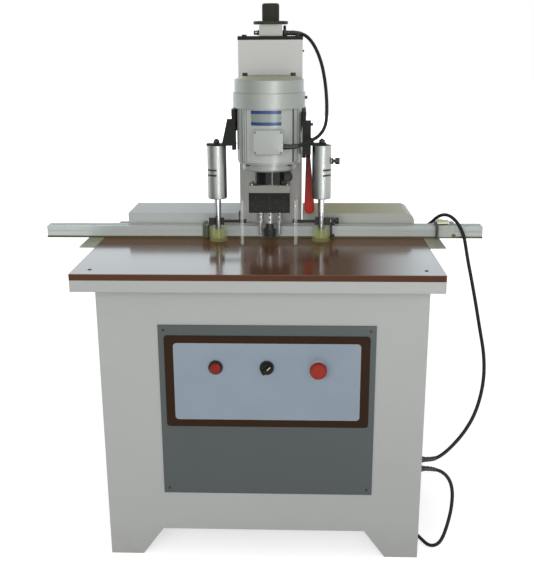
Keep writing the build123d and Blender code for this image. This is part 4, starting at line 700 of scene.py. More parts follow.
def route(name, points, bevel=0.0, fineness=8):
    """A curve object on one open NURBS spline."""
    data = bpy.data.curves.new(name, "CURVE")
    data.dimensions = "3D"
    spline = data.splines.new("NURBS")
    spline.points.add(len(points) - 1)
    for spot, place in zip(spline.points, points):
        spot.co = (*place, 1.0)
    spline.order_u = 3
    spline.use_endpoint_u = True
    spline.resolution_u = fineness
    data.bevel_depth = bevel
    data.bevel_resolution = 5
    data.use_fill_caps = True
    return link(name, data)


def line_of(points):
    """The points of the smooth line itself, read from a spline with no bevel."""
    bare_route = route("bare_route", points, fineness=line_fineness)
    graph = bpy.context.evaluated_depsgraph_get()
    mesh = bpy.data.meshes.new_from_object(bare_route.evaluated_get(graph))
    line = [vertex.co.copy() for vertex in mesh.vertices]
    bpy.data.objects.remove(bare_route)
    bpy.data.meshes.remove(mesh)
    return line


def length_of(line):
    return sum((after - before).length for before, after in zip(line, line[1:]))


sheath = plastic("cable_sheath", tone(36, 37, 34), tone(25, 26, 24), 0.55, edge=0.0, shine=0.2).material
print("cable", cable_diameter * 1000, "mm thick")

# %% [markdown]
# What is turned, moulded or drawn along a line is a loft here: rings with the same count of points, joined
# into a closed skin. Modelling by hand would do as well, but a loft keeps its sizes in the script.

# %% Loft tools
smooth_angle = math.radians(35.0)


def piece(name, shape, material):
    """An object from a bmesh, at the origin, smooth up to an angle."""
    mesh = bpy.data.meshes.new(name)
    shape.to_mesh(mesh)
    shape.free()
    mesh.materials.append(material)
    mesh.shade_smooth()
    mesh.set_sharp_from_angle(angle=smooth_angle)
    return link(name, mesh)


def ring_of(centre, across, up, radius, sides):
    """Points of a circle round a centre, in the plane of two unit vectors."""
    angles = [2 * math.pi * step / sides for step in range(sides)]
    return [centre + (across * math.cos(angle) + up * math.sin(angle)) * radius for angle in angles]


def loft(shape, rows, capped=True):
    """Joins rings of points into a closed skin, with end faces or as a loop of rings."""
    made = [[shape.verts.new(spot) for spot in row] for row in rows]
    following = made[1:] if capped else made[1:] + made[:1]
    for one, two in zip(made, following):
        for step in range(len(one)):
            near = (step + 1) % len(one)
            shape.faces.new((one[step], one[near], two[near], two[step]))
    if capped:
        shape.faces.new(made[0][::-1])
        shape.faces.new(made[-1])
    bmesh.ops.recalc_face_normals(shape, faces=shape.faces)
    return shape


def tube(path, radii, sides=20):
    """A closed round tube with its own radius at each point of the path."""
    across = (path[1] - path[0]).orthogonal().normalized()
    rows = []
    for count, (spot, radius) in enumerate(zip(path, radii)):
        before = path[max(count - 1, 0)]
        after = path[min(count + 1, len(path) - 1)]
        forward = (after - before).normalized()
        across = (across - forward * across.dot(forward)).normalized()
        rows.append(ring_of(spot, across, forward.cross(across), radius, sides))
    return loft(bmesh.new(), rows)


print("smooth up to", round(math.degrees(smooth_angle)), "degrees")

# %% [markdown]
# The motor's cable is held at the motor's box and at the elbow on the column, and the box rises with the
# boring head. This one is a mesh tube, and the other two ride on the frame as curves.

# %% Motor cable
motor_points = [
    (0.066, -0.029, 1.068), (0.097, -0.029, 1.068), (0.123, -0.014, 1.079), (0.151, 0.009, 1.089),
    (0.171, 0.040, 1.113), (0.175, 0.079, 1.147), (0.175, 0.120, 1.184), (0.171, 0.162, 1.229),
    (0.162, 0.194, 1.274), (0.146, 0.211, 1.314), (0.124, 0.219, 1.344), (0.100, 0.2205, 1.354),
    (0.076, 0.2205, 1.354),
]
motor_line = line_of(motor_points)
motor_cable = piece("motor_cable_cord", tube(motor_line, [cable_diameter / 2] * len(motor_line)), sheath)
print("motor cable", round(length_of(motor_line), 3), "m")

# %% [markdown]
# The loop cable leaves the right rear cover, crosses the fence and hangs down to the cabinet's side.
# Nothing moves at either end, so a curve with a round bevel is enough.

# %% Loop cable
loop_points = [
    (0.439, 0.152, 0.818), (0.452, 0.152, 0.818), (0.468, 0.1525, 0.8225), (0.4815, 0.1525, 0.832),
    (0.4935, 0.148, 0.846), (0.506, 0.137, 0.8565), (0.518, 0.121, 0.860), (0.5295, 0.1025, 0.857),
    (0.544, 0.0855, 0.843), (0.5585, 0.074, 0.816), (0.565, 0.0635, 0.7815), (0.5715, 0.0535, 0.7425),
    (0.581, 0.034, 0.693), (0.590, 0.002, 0.633), (0.597, -0.034, 0.574), (0.605, -0.066, 0.518),
    (0.604, -0.095, 0.464), (0.592, -0.125, 0.417), (0.573, -0.151, 0.372), (0.546, -0.168, 0.330),
    (0.515, -0.179, 0.295), (0.487, -0.186, 0.270), (0.463, -0.190, 0.258), (0.439, -0.190, 0.258),
]
loop_cable = route("loop_cable_cord", loop_points, cable_diameter / 2)
loop_cable.data.materials.append(sheath)
loop_line = line_of(loop_points)
print("loop cable", round(length_of(loop_line), 3), "m")

# %% [markdown]
# The mains lead leaves the cabinet below the loop cable and reaches the floor, and its spare length lies in
# a coil under the cabinet. The coil's turns are more points of the lead's own spline. They spiral in on the
# floor, climb, and spiral out on top. A quadratic spline runs a little inside its control points, so the
# radius is divided by the cosine of half a step.

# %% Mains lead and its coil
lead_points = [
    (0.439, -0.190, 0.231), (0.470, -0.190, 0.231), (0.500, -0.195, 0.216), (0.516, -0.203, 0.183),
    (0.515, -0.214, 0.134), (0.504, -0.227, 0.086), (0.489, -0.236, 0.042), (0.474, -0.226, 0.018),
    (0.458, -0.203, 0.00505), (0.444, -0.171, 0.00505), (0.425, -0.132, 0.00505), (0.402, -0.093, 0.00505),
    (0.387, -0.047, 0.00505),
]
coil_middle = Vector((0.320, 0.020, 0.0))
coil_low = 0.00505
coil_high = 0.01535
coil_inward = [0.067, 0.06175, 0.0565, 0.05125, 0.046, 0.04075, 0.03425]
coil_radii = coil_inward + coil_inward[:0:-1] + [0.092]
coil_steps = 12
coil_climb = len(coil_inward) - 1


def coil_points():
    inside = math.cos(math.pi / coil_steps / 2)
    points = []
    for half, (start, end) in enumerate(zip(coil_radii, coil_radii[1:])):
        for step in range(coil_steps):
            share = step / coil_steps
            ease = share * share * (3 - 2 * share)
            radius = (start + (end - start) * ease) / inside
            angle = math.pi * (half + share)
            climbed = 0.0 if half < coil_climb else 1.0
            rise = ease if half == coil_climb else climbed
            height = coil_low + (coil_high - coil_low) * rise
            points.append((
                coil_middle.x + radius * math.cos(angle), coil_middle.y + radius * math.sin(angle), height))
    return points


lead_end = Vector((coil_middle.x - coil_radii[-1], coil_middle.y - cable_diameter, coil_high))
mains_points = lead_points + coil_points() + [(lead_end.x, coil_middle.y, coil_high), tuple(lead_end)]
mains_lead = route("mains_lead_cord", mains_points, cable_diameter / 2)
mains_lead.data.materials.append(sheath)
mains_line = line_of(mains_points)
print("mains lead", round(length_of(mains_line), 3), "m")

# %% [markdown]
# Where a cord leaves a gland, a ribbed boot keeps it from kinking. A boot is a tapered tube on the first
# centimetres of the cord's own line, so it bends as the cord does. The ribs are wider rings.

# %% Cord boots
boot_length = 0.030
boot_root = 0.0066
boot_tip = 0.0053
boot_rib = 0.0006
rib_rings = 2


def along(line, length):
    """The first part of a line, up to that length."""
    kept = [line[0]]
    gone = 0.0
    for spot in line[1:]:
        gone += (spot - kept[-1]).length
        kept.append(spot)
        if gone > length:
            break
    return kept


def boot(name, line):
    path = along(line, boot_length)
    radii = []
    for count in range(len(path)):
        share = count / (len(path) - 1)
        rib = boot_rib if count % (2 * rib_rings) < rib_rings else 0.0
        radii.append(boot_root + (boot_tip - boot_root) * share + rib)
    return piece(name, tube(path, radii, 24), black_plastic)


motor_boot = boot("motor_boot", motor_line)
elbow_boot = boot("elbow_boot", motor_line[::-1])
loop_boot = boot("loop_boot", loop_line)
cabinet_boot = boot("cabinet_boot", loop_line[::-1])
mains_boot = boot("mains_boot", mains_line)
plug_boot = boot("plug_boot", mains_line[::-1])
print("boots of", round(boot_length * 1000), "mm")

# %% [markdown]
# The plug at the lead's end is moulded in one with its grip: slim at the cord, full at the face, with three
# flat pins. It is a loft: one rounded rectangle after another along -Y.

# %% Mains plug
plug_sections = [
    (0.0, 0.0090, 0.0085, 0.008), (0.003, 0.0105, 0.0100, 0.008), (0.010, 0.0120, 0.0112, 0.008),
    (0.014, 0.0150, 0.0128, 0.008), (0.020, 0.0176, 0.0148, 0.008), (0.026, 0.0180, 0.0150, 0.008),
    (0.0385, 0.0180, 0.0150, 0.008), (0.0408, 0.0172, 0.0142, 0.008), (0.042, 0.0158, 0.0128, 0.007),
]
pin_places = ((-0.00635, -0.0045), (0.00635, -0.0045), (0.0, 0.0045))
pin_ends = ((0.0415, 0.0), (0.0575, 0.0), (0.059, 0.0005))
pin_half = (0.0008, 0.00315)
pin_corner = 0.0003


def rounded_ring(half_wide, half_tall, corner, steps=6):
    """Points of a rounded rectangle round the origin, as (across, up)."""
    ring = []
    for quarter, (side, rise) in enumerate(((1, 1), (-1, 1), (-1, -1), (1, -1))):
        for step in range(steps + 1):
            angle = math.pi / 2 * (quarter + step / steps)
            ring.append((
                side * (half_wide - corner) + corner * math.cos(angle),
                rise * (half_tall - corner) + corner * math.sin(angle),
            ))
    return ring


def facing_front(centre, out, ring):
    """A ring of (across, up) in an upright plane, at a distance from a centre towards -Y."""
    return [Vector((centre.x + across, centre.y - out, centre.z + up)) for across, up in ring]


plug_rows = [facing_front(lead_end, back, rounded_ring(*sizes)) for back, *sizes in plug_sections]
plug_body = piece("plug_body", loft(bmesh.new(), plug_rows), black_plastic)
pins = bmesh.new()
for pin_across, pin_up in pin_places:
    pin_middle = lead_end + Vector((pin_across, 0.0, pin_up))
    loft(pins, [
        facing_front(
            pin_middle, back, rounded_ring(pin_half[0] - shrink / 2, pin_half[1] - shrink, pin_corner, 2))
        for back, shrink in pin_ends])
plug_pins = piece("plug_pins", pins, brass_metal)
print("pins", len(pin_places))

# %% [markdown]
# A hook-and-loop tie holds the coil. It is a flat band round the bundle's section, where the turns lie in
# two neat layers, so the band is a rounded loop pushed to a width. Where it would pass under the floor, it
# lies flat on it.

# %% Coil tie
tie_half_width = 0.006
tie_thick = 0.0009
tie_corner = 0.006
bundle_inner = 0.0318
bundle_outer = 0.0650
bundle_top = 0.0210
floor_gap = 0.00006
inner_gap = 0.00026
tie_middle = (bundle_inner + bundle_outer) / 2
tie_wide = (bundle_outer - bundle_inner) / 2
tie_tall = bundle_top / 2


def tie_row(side, grow, lowest):
    ring = rounded_ring(tie_wide + grow, tie_tall + grow, tie_corner + grow)
    place = coil_middle + Vector((side * tie_half_width, -tie_middle, tie_tall))
    return [Vector((place.x, place.y - across, max(place.z + up, lowest))) for across, up in ring]


tie_inner = [tie_row(side, 0.0, inner_gap) for side in (-1, 1)]
tie_outer = [tie_row(side, tie_thick, floor_gap) for side in (-1, 1)]
tie_rows = [tie_inner[0], tie_outer[0], tie_outer[1], tie_inner[1]]
coil_tie = piece("coil_tie", loft(bmesh.new(), tie_rows, capped=False), black_plastic)
print("tie faces", len(coil_tie.data.polygons))

# %% [markdown]
# Screws. The CAD gives each one as a plain head on a shank. Socket heads could be set by hand, but then
# they would stay behind when a size of the model changes. So they are read from the CAD's solids, which are
# the groups of points that hang together.

# %% Solids of a node
merge_distance = 1e-6


def solids_of(node):
    """The points of each separate solid in a CAD node, whose loose triangles are merged first."""
    shape = bmesh.new()
    shape.from_mesh(nodes[node].data)
    bmesh.ops.remove_doubles(shape, verts=shape.verts, dist=merge_distance)
    shape.verts.ensure_lookup_table()
    seen = set()
    found = []
    for first in shape.verts:
        if first.index in seen:
            continue
        seen.add(first.index)
        heap = [first]
        group = []
        while heap:
            vert = heap.pop()
            group.append(vert.co.copy())
            for edge in vert.link_edges:
                other = edge.other_vert(vert)
                if other.index not in seen:
                    seen.add(other.index)
                    heap.append(other)
        found.append(group)
    shape.free()
    return found


def corners(points):
    low = Vector([min(spot[axis] for spot in points) for axis in range(3)])
    high = Vector([max(spot[axis] for spot in points) for axis in range(3)])
    return low, high


frame_solids = solids_of("frame_screws")
head_solids = solids_of("head_screws")
print("solids", len(frame_solids), len(head_solids))

# %% [markdown]
# A screw is round about one axis, and its wider end is the head. Its levels along that axis then give all
# its sizes. What isn't round about any axis is a nut.

# %% Places of the screws
round_slack = 2e-4
level_slack = 2e-5


def reach(points, middle, axis, height):
    """How far the points at one height along an axis lie from that axis."""
    near = [spot - middle for spot in points if abs(spot[axis] - height) < level_slack]
    return max(Vector([spot[other] for other in range(3) if other != axis]).length for spot in near)


def screw_facts(points):
    """Seat, outward way, head radius and height, shank radius and length, or None for a nut."""
    low, high = corners(points)
    size = high - low
    middle = (low + high) / 2
    for axis in range(3):
        one, two = [size[other] for other in range(3) if other != axis]
        if abs(one - two) > round_slack:
            continue
        levels = sorted({round(spot[axis], 5) for spot in points})
        radii = [reach(points, middle, axis, height) for height in (levels[0], levels[-1])]
        outward = 1 if radii[1] > radii[0] else -1
        head_end, shank_end = (levels[-1], levels[0])[::outward]
        step = levels[-2] if outward > 0 else levels[1]
        way = Vector((0, 0, 0))
        way[axis] = outward
        seat = middle.copy()
        seat[axis] = step
        sizes = (max(radii), abs(head_end - step), min(radii), abs(step - shank_end))
        return seat, way, tuple(round(value, 4) for value in sizes)
    return None


frame_facts = [screw_facts(points) for points in frame_solids]
head_facts = [screw_facts(points) for points in head_solids]
print("screws", len(frame_facts), len(head_facts), "nuts", frame_facts.count(None))

# %% [markdown]
# What repeats is grown by Geometry Nodes, which set one shape on many points. The Grower builds such a tree
# in the script, with named inputs, and runs it. What stays is a plain mesh.


# %% Geometry Nodes tool
class Grower(Tree):
    """A Geometry Nodes tree that sets one shape on many points."""

    def __init__(self, name, inputs):
        super().__init__(bpy.data.node_groups.new(name, "GeometryNodeTree"))
        self.ids = {}
        for label, kind in {"Geometry": "Geometry", **inputs, "Material": "Material"}.items():
            socket = self.tree.interface.new_socket(label, in_out="INPUT", socket_type="NodeSocket" + kind)
            self.ids[label] = socket.identifier
        self.tree.interface.new_socket("Geometry", in_out="OUTPUT", socket_type="NodeSocketGeometry")
        self.start = self.tree.nodes.new("NodeGroupInput")

    def given(self, label):
        return Value(self, self.start.outputs[label])

    def moved(self, shape, move):
        return self.node("GeometryNodeTransform", {}, {"Geometry": shape, "Translation": move})

    def lifted(self, shape, height):
        return self.moved(shape, self.node("ShaderNodeCombineXYZ", {}, {"Z": height}))

    def finish(self, points, instance, **more):
        """Sets the instance on the points, and ends the tree in real faces with the given material."""
        inputs = {"Points": points, "Instance": instance, **more}
        placed = self.node("GeometryNodeInstanceOnPoints", {}, inputs)
        real = self.node("GeometryNodeRealizeInstances", {}, {"Geometry": placed})
        inputs = {"Geometry": real, "Material": self.given("Material")}
        coated = self.node("GeometryNodeSetMaterial", {}, inputs)
        end = self.tree.nodes.new("NodeGroupOutput")
        self.join(coated, end.inputs["Geometry"])

    def grow(self, name, mesh, inputs):
        """Runs the tree on a mesh and gives back the result as a plain mesh."""
        host = link(name, mesh)
        modifier = host.modifiers.new("grow", "NODES")
        modifier.node_group = self.tree
        for label, value in inputs.items():
            modifier[self.ids[label]] = value
        graph = bpy.context.evaluated_depsgraph_get()
        grown = bpy.data.meshes.new_from_object(host.evaluated_get(graph))
        host.modifiers.remove(modifier)
        bpy.data.objects.remove(host)
        return grown


print("made:", Grower.__doc__)

# %% [markdown]
# The first tree sets a socket head with its shank on every point, turned along the point's own direction.
# One tree serves all sizes, because its sizes are inputs. The socket is cut by a Boolean, as a broach
# would.

# %% Screw tree
head_taper = 0.92
socket_share = 0.52
round_sides = 28
shank_sides = 16
hexagon_sides = 6
screw_sizes = ("Head radius", "Head height", "Shank radius", "Shank length")
screws = Grower("socket_screws", {label: "Float" for label in screw_sizes})
head_radius, head_height, shank_radius, shank_length = [screws.given(label) for label in screw_sizes]
cheese = screws.node("GeometryNodeMeshCone", {}, {
    "Vertices": round_sides, "Radius Top": head_radius * head_taper, "Radius Bottom": head_radius,
    "Depth": head_height})
hexagon = screws.node("GeometryNodeMeshCylinder", {}, {
    "Vertices": hexagon_sides, "Radius": head_radius * socket_share, "Depth": head_height})
head = screws.node("GeometryNodeMeshBoolean", {"operation": "DIFFERENCE"}, {
    "Mesh 1": cheese, "Mesh 2": screws.lifted(hexagon, head_height)})
bar = screws.node("GeometryNodeMeshCylinder", {}, {
    "Vertices": shank_sides, "Radius": shank_radius, "Depth": shank_length})
shank = screws.lifted(bar, shank_length * -0.5)
whole = screws.node("GeometryNodeJoinGeometry", {}, {"Geometry": [head, shank]})
outward_way = screws.node("GeometryNodeInputNamedAttribute", {"data_type": "FLOAT_VECTOR"}, {"Name": "way"})
turned = screws.node("FunctionNodeAlignRotationToVector", {"axis": "Z"}, {"Vector": outward_way})
screws.finish(screws.given("Geometry"), whole, Rotation=turned)
print("tree nodes", len(screws.tree.nodes))

# %% [markdown]
# The tree runs once for each size of screw, on a mesh of bare points that carry their direction. The runs
# are then joined, so that all screws of one body can be one piece.


# %% Screw meshes
def points_mesh(places):
    """A mesh of bare points, each with the way that it faces."""
    mesh = bpy.data.meshes.new("screw_places")
    mesh.from_pydata([tuple(seat) for seat, way in places], [], [])
    attribute = mesh.attributes.new("way", "FLOAT_VECTOR", "POINT")
    attribute.data.foreach_set("vector", [part for seat, way in places for part in way])
    return mesh


def joined(name, meshes):
    """One object from several meshes, each with its own material."""
    shape = bmesh.new()
    made = bpy.data.meshes.new(name)
    for slot, mesh in enumerate(meshes):
        before = len(shape.faces)
        shape.from_mesh(mesh)
        shape.faces.ensure_lookup_table()
        for face in shape.faces[before:]:
            face.material_index = slot
        made.materials.append(next(material for material in mesh.materials if material))
    shape.to_mesh(made)
    shape.free()
    made.shade_smooth()
    made.set_sharp_from_angle(angle=smooth_angle)
    return link(name, made)


def screw_meshes(facts, material):
    """Socket screws for a list of facts, one tree run for each size."""
    groups = {}
    for seat, way, sizes in facts:
        groups.setdefault(sizes, []).append((seat, way))
    meshes = []
    for sizes, places in groups.items():
        inputs = {**dict(zip(screw_sizes, sizes)), "Material": material}
        meshes.append(screws.grow("screw_group", points_mesh(places), inputs))
    return meshes


print("sizes of screws", len({fact[2] for fact in frame_facts + head_facts if fact}))

# %% [markdown]
# The nuts on the clamps are plain hexagons with their corners taken off, which a loft gives. The bolts of
# the gear head's lid are bright, and all other screws are blackened.

# %% Screws and nuts
nut_chamfer = 0.001
nut_end_share = 0.93
lid_bolt_span = (0.93, 0.96)
to_right = Vector((1, 0, 0))
to_back = Vector((0, 1, 0))


def hexagonal_nut(points):
    """A nut over a stud, with its corners taken off at both ends."""
    low, high = corners(points)
    middle = (low + high) / 2
    radius = (high.x - low.x) / 2
    heights = (low.z, low.z + nut_chamfer, high.z - nut_chamfer, high.z)
    rows = []
    for height, share in zip(heights, (nut_end_share, 1.0, 1.0, nut_end_share)):
        centre = Vector((middle.x, middle.y, height))
        rows.append(ring_of(centre, to_right, to_back, radius * share, hexagon_sides))
    shape = loft(bmesh.new(), rows)
    mesh = bpy.data.meshes.new("nut")
    shape.to_mesh(mesh)
    shape.free()
    mesh.materials.append(oxide_metal)
    return mesh


def is_lid_bolt(fact):
    return lid_bolt_span[0] < fact[0].z < lid_bolt_span[1]


nut_meshes = [hexagonal_nut(points) for points, fact in zip(frame_solids, frame_facts) if fact is None]
frame_meshes = screw_meshes([fact for fact in frame_facts if fact], oxide_metal) + nut_meshes
frame_screws = joined("frame_screw_set", frame_meshes)
lid_bolts = screw_meshes([fact for fact in head_facts if is_lid_bolt(fact)], bit_metal)
other_screws = screw_meshes([fact for fact in head_facts if not is_lid_bolt(fact)], oxide_metal)
head_screws = joined("head_screw_set", other_screws + lid_bolts)
print("screw faces", len(frame_screws.data.polygons) + len(head_screws.data.polygons))

# %% [markdown]
# Each bit is held in its spindle's nose by two grub screws. They turn with their spindle, so each nose gets
# its own small set from the same tree.

# %% Grub screws
nose_levels = (0.858, 0.871)
nose_radius = 0.010
grub_sizes = (0.0026, 0.0006, 0.0020, 0.004)
grub_bodies = {"left_spindle": "left_spindle", "hinge_bit": "spindle", "right_spindle": "right_spindle"}
grubs = {}
for node, body in grub_bodies.items():
    nose_low, nose_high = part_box(node)
    nose_middle = (nose_low + nose_high) / 2
    grub_facts = []
    for height in nose_levels:
        grub_seat = Vector((nose_middle.x, nose_middle.y - nose_radius, height))
        grub_facts.append((grub_seat, -to_back, grub_sizes))
    grubs[body] = joined("grub_screws_" + body, screw_meshes(grub_facts, oxide_metal))
print("grub screws", len(grubs) * len(nose_levels))

# %% [markdown]
# The clear guard hangs on the ends of the two arms, and a black screw inside the sheet holds it on each.
# The tree makes these as well.

# %% Guard screws
guard_screw_inset = 0.010
guard_screw_sizes = (0.0058, 0.0045, 0.0030, 0.006)
arm_height = 0.856
arm_y = 0.048
guard_facts = []
for edge_x, inward in ((guard_low.x, 1), (guard_high.x, -1)):
    guard_seat = Vector((edge_x + inward * guard_screw_inset, arm_y, arm_height))
    guard_facts.append((guard_seat, to_right * inward, guard_screw_sizes))
guard_screws = joined("guard_screws", screw_meshes(guard_facts, oxide_metal))
print("guard screws", len(guard_facts))

# %% [markdown]
# The depth knob has a fluted grip. A ring of upright ribs is the simplest repeat there is: a circle gives
# the points, a thin bar stands on each, and the sizes are inputs of the tree.

# %% Ribs of the depth knob
rib_count = 40
rib_ring_radius = 0.0228
rib_radius = 0.0010
grip_foot = 0.010
grip_top = 0.004
rib_sides = 10
ribs = Grower("ring_of_ribs", {
    "Count": "Int", "Radius": "Float", "Rib radius": "Float", "Rib height": "Float", "Middle": "Vector"})
circle = ribs.node("GeometryNodeMeshCircle", {}, {
    "Vertices": ribs.given("Count"), "Radius": ribs.given("Radius")})
rib_bar = ribs.node("GeometryNodeMeshCylinder", {}, {
    "Vertices": rib_sides, "Radius": ribs.given("Rib radius"), "Depth": ribs.given("Rib height")})
ribs.finish(ribs.moved(circle, ribs.given("Middle")), rib_bar)
knob_low, knob_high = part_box("depth_knob")
knob_middle = (knob_low + knob_high) / 2
grip_low = knob_low.z + grip_foot
grip_high = knob_high.z - grip_top
rib_mesh = ribs.grow("rib_ring", bpy.data.meshes.new("rib_seed"), {
    "Count": rib_count, "Radius": rib_ring_radius, "Rib radius": rib_radius,
    "Rib height": grip_high - grip_low,
    "Middle": (knob_middle.x, knob_middle.y, (grip_low + grip_high) / 2), "Material": grip_plastic})
knob_ribs = joined("knob_ribs", [rib_mesh])
print("rib faces", len(knob_ribs.data.polygons))

# %% [markdown]
# Glands and fittings are turned about one axis, so a lathe function with a chosen number of sides makes
# them all: six for a nut, and more for what is round. A profile lists the distance along the axis and the
# radius there, in metres.

# %% Profiles of the glands and fittings
gland_washer = [(-0.002, 0.0075), (0.0, 0.0075), (0.0003, 0.0105), (0.0018, 0.0105), (0.002, 0.009)]
gland_nut = [(0.002, 0.0088), (0.0028, 0.0096), (0.0085, 0.0096), (0.009, 0.0088)]
gland_dome = [(0.009, 0.0086), (0.013, 0.0084), (0.0158, 0.0074), (0.017, 0.0058)]
inlet_nut = [
    (0.0, 0.0075), (0.002, 0.0075), (0.0022, 0.0088), (0.003, 0.0096), (0.0105, 0.0096), (0.0112, 0.0088)]
inlet_sleeve = [(0.0112, 0.0082), (0.0232, 0.0082), (0.024, 0.0076), (0.024, 0.0040), (0.007, 0.0040)]
air_nut = [(0.0, 0.0064), (0.0006, 0.0070), (0.006, 0.0070), (0.0066, 0.0064)]
air_sleeve = [(0.0066, 0.0058), (0.012, 0.0058), (0.0122, 0.0050)]
air_collar = [(0.0122, 0.0048), (0.013, 0.0048), (0.0132, 0.0062), (0.0155, 0.0062), (0.016, 0.0056)]
elbow_nut = [(0.0, 0.0066), (0.0006, 0.0072), (0.0045, 0.0072), (0.005, 0.0066)]
elbow_body = [(0.005, 0.0066), (0.0140, 0.0066), (0.015, 0.0058)]
neck_start = elbow_body[-1][0]
neck_pitch = 0.0013
neck_radii = (0.0037, 0.0044)
neck_rings = [(neck_start + neck_pitch * step, neck_radii[step % 2]) for step in range(10)]
elbow_neck = neck_rings + [(0.028, 0.0040)]
elbow_outlet = [(0.0, 0.0066), (0.013, 0.0066), (0.016, 0.0062), (0.017, 0.0054)]


def lathe(shape, start, way, profile, sides=round_sides):
    """Adds a turned solid to a bmesh."""
    across = way.orthogonal().normalized()
    up = way.cross(across)
    loft(shape, [ring_of(start + way * distance, across, up, radius, sides) for distance, radius in profile])


print("longest fitting", max(distance for distance, radius in elbow_neck), "m")

# %% [markdown]
# The CAD's solids say where each fitting sits. A cable gland on the right is a hexagon nut, mostly with a
# round dome. The elbow on the column turns the motor's cable down into it, the lift has a plated air
# fitting, and the air inlet at the back is a brass push-in fitting. The side and the size of the solid tell
# which it is.

# %% Glands and fittings
right_hand = 0.3
dome_length = 0.015
inlet_length = 0.02
lift_side = 0.02
nut_end = gland_nut[-1][0]
dome_end = gland_dome[-1][0]
elbow_inset = 0.007
outlet_height = 0.008
upward = Vector((0, 0, 1))
moulded = bmesh.new()
brass = bmesh.new()
plated = bmesh.new()


def cable_gland(low, high):
    domed = high.x - low.x > dome_length
    middle = (low + high) / 2
    seat = Vector((high.x - (dome_end if domed else nut_end), middle.y, middle.z))
    lathe(moulded, seat, to_right, gland_washer)
    lathe(moulded, seat, to_right, gland_nut, hexagon_sides)
    if domed:
        lathe(moulded, seat, to_right, gland_dome)


def air_inlet(low, high):
    middle = (low + high) / 2
    seat = Vector((middle.x, low.y, middle.z))
    lathe(brass, seat, to_back, inlet_nut, hexagon_sides)
    lathe(brass, seat, to_back, inlet_sleeve)


def air_fitting(low, high):
    middle = (low + high) / 2
    seat = Vector((high.x, middle.y, middle.z))
    lathe(plated, seat, -to_right, air_nut, hexagon_sides)
    lathe(plated, seat, -to_right, air_sleeve)
    lathe(moulded, seat, -to_right, air_collar)


def cable_elbow(low, high):
    foot = Vector((low.x + elbow_inset, (low.y + high.y) / 2, low.z))
    lathe(moulded, foot, upward, elbow_nut, hexagon_sides)
    lathe(moulded, foot, upward, elbow_body)
    lathe(moulded, foot, upward, elbow_neck)
    lathe(moulded, foot + upward * outlet_height, to_right, elbow_outlet)


gland_boxes = [corners(points) for points in solids_of("glands")]
for low, high in gland_boxes:
    if low.x > right_hand:
        cable_gland(low, high)
    elif high.y - low.y > inlet_length:
        air_inlet(low, high)
    elif (low.x + high.x) / 2 < lift_side:
        air_fitting(low, high)
    else:
        cable_elbow(low, high)
gland_set = piece("gland_set", moulded, black_plastic)
brass_set = piece("brass_fitting_set", brass, brass_metal)
plated_set = piece("plated_fitting", plated, rod_metal)
print("fittings", len(gland_boxes))

# %% [markdown]
# The motor's nameplate is a blank: a thin curved plate with a plain band along its top and bottom, on
# four rivets. A flat plate could be bent by a modifier, but a loft round the motor's axis gives the curve
# at once.

# %% Nameplate
motor_radius = 0.087
plate_bottom = 1.1215
plate_top = 1.1595
plate_turn = math.radians(27.0)
plate_middle_turn = math.radians(-4.0)
plate_thick = 0.0008
plate_sunk = 0.0004
plate_steps = 20
band_tall = 0.0085
rivet_turn = plate_turn - 0.04
rivet_inset = 0.0125
rivet_sizes = (0.0016, 0.0008, 0.0008, 0.002)

blank = Finish("nameplate", roughness=0.35, metallic=0.2)
blank_height = blank.axis("Z")
blank_cloud = blank.noise(0.02, 3.0)
blank.feed(base_color=blank.mix(blank_cloud, tone(134, 145, 141), tone(124, 135, 131)))
plain_bands = (blank_height > plate_top - band_tall) + (blank_height < plate_bottom + band_tall)
blank.cover(plain_bands, tone(44, 64, 112))
blank.feed(normal=blank.bump(blank_cloud, 0.00003))


def on_motor(angle, height, out):
    """A point out from the motor's shell: the angle is from straight ahead."""
    radius = motor_radius + out
    return Vector((motor_x + radius * math.sin(angle), motor_y - radius * math.cos(angle), height))


plate_rows = []
for step in range(plate_steps + 1):
    angle = plate_middle_turn + plate_turn * (2 * step / plate_steps - 1)
    plate_rows.append([
        on_motor(angle, plate_bottom, -plate_sunk), on_motor(angle, plate_bottom, plate_thick),
        on_motor(angle, plate_top, plate_thick), on_motor(angle, plate_top, -plate_sunk)])
nameplate = piece("motor_nameplate", loft(bmesh.new(), plate_rows), blank.material)

rivet_facts = []
for angle in (plate_middle_turn - rivet_turn, plate_middle_turn + rivet_turn):
    for height in (plate_bottom + rivet_inset, plate_top - rivet_inset):
        rivet_way = Vector((math.sin(angle), -math.cos(angle), 0))
        rivet_facts.append((on_motor(angle, height, plate_thick), rivet_way, rivet_sizes))
rivets = joined("nameplate_rivets", screw_meshes(rivet_facts, rod_metal))
print("rivets", len(rivet_facts))

# %% [markdown]
# The connection box below the nameplate has a flat lid with a rounded rim. It is a loft of four rounded
# rectangles, which shows the rim's highlight better than a bevel in the shader would.

# %% Lid of the connection box
lid_half = (0.0390, 0.0315)
lid_corner = 0.006
lid_rim = ((-0.0015, 0.0), (0.0009, 0.0), (0.0014, 0.0006), (0.0016, 0.0016))
box_low, box_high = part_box("terminal_box")
lid_middle = Vector((motor_x, box_low.y, (box_low.z + box_high.z) / 2))
lid_rows = []
for out, inset in lid_rim:
    ring = rounded_ring(lid_half[0] - inset, lid_half[1] - inset, lid_corner - inset)
    lid_rows.append(facing_front(lid_middle, out, ring))
terminal_lid = piece("terminal_lid", loft(bmesh.new(), lid_rows), motor_enamel)
print("lid", 2 * lid_half[0], "by", 2 * lid_half[1], "m")

# %% [markdown]
# The selector's grip has a pale line that shows where it points. It could be a mask, but such a line
# stands a little proud, so it is a small bar on the grip. At rest the grip stands at 45 degrees.

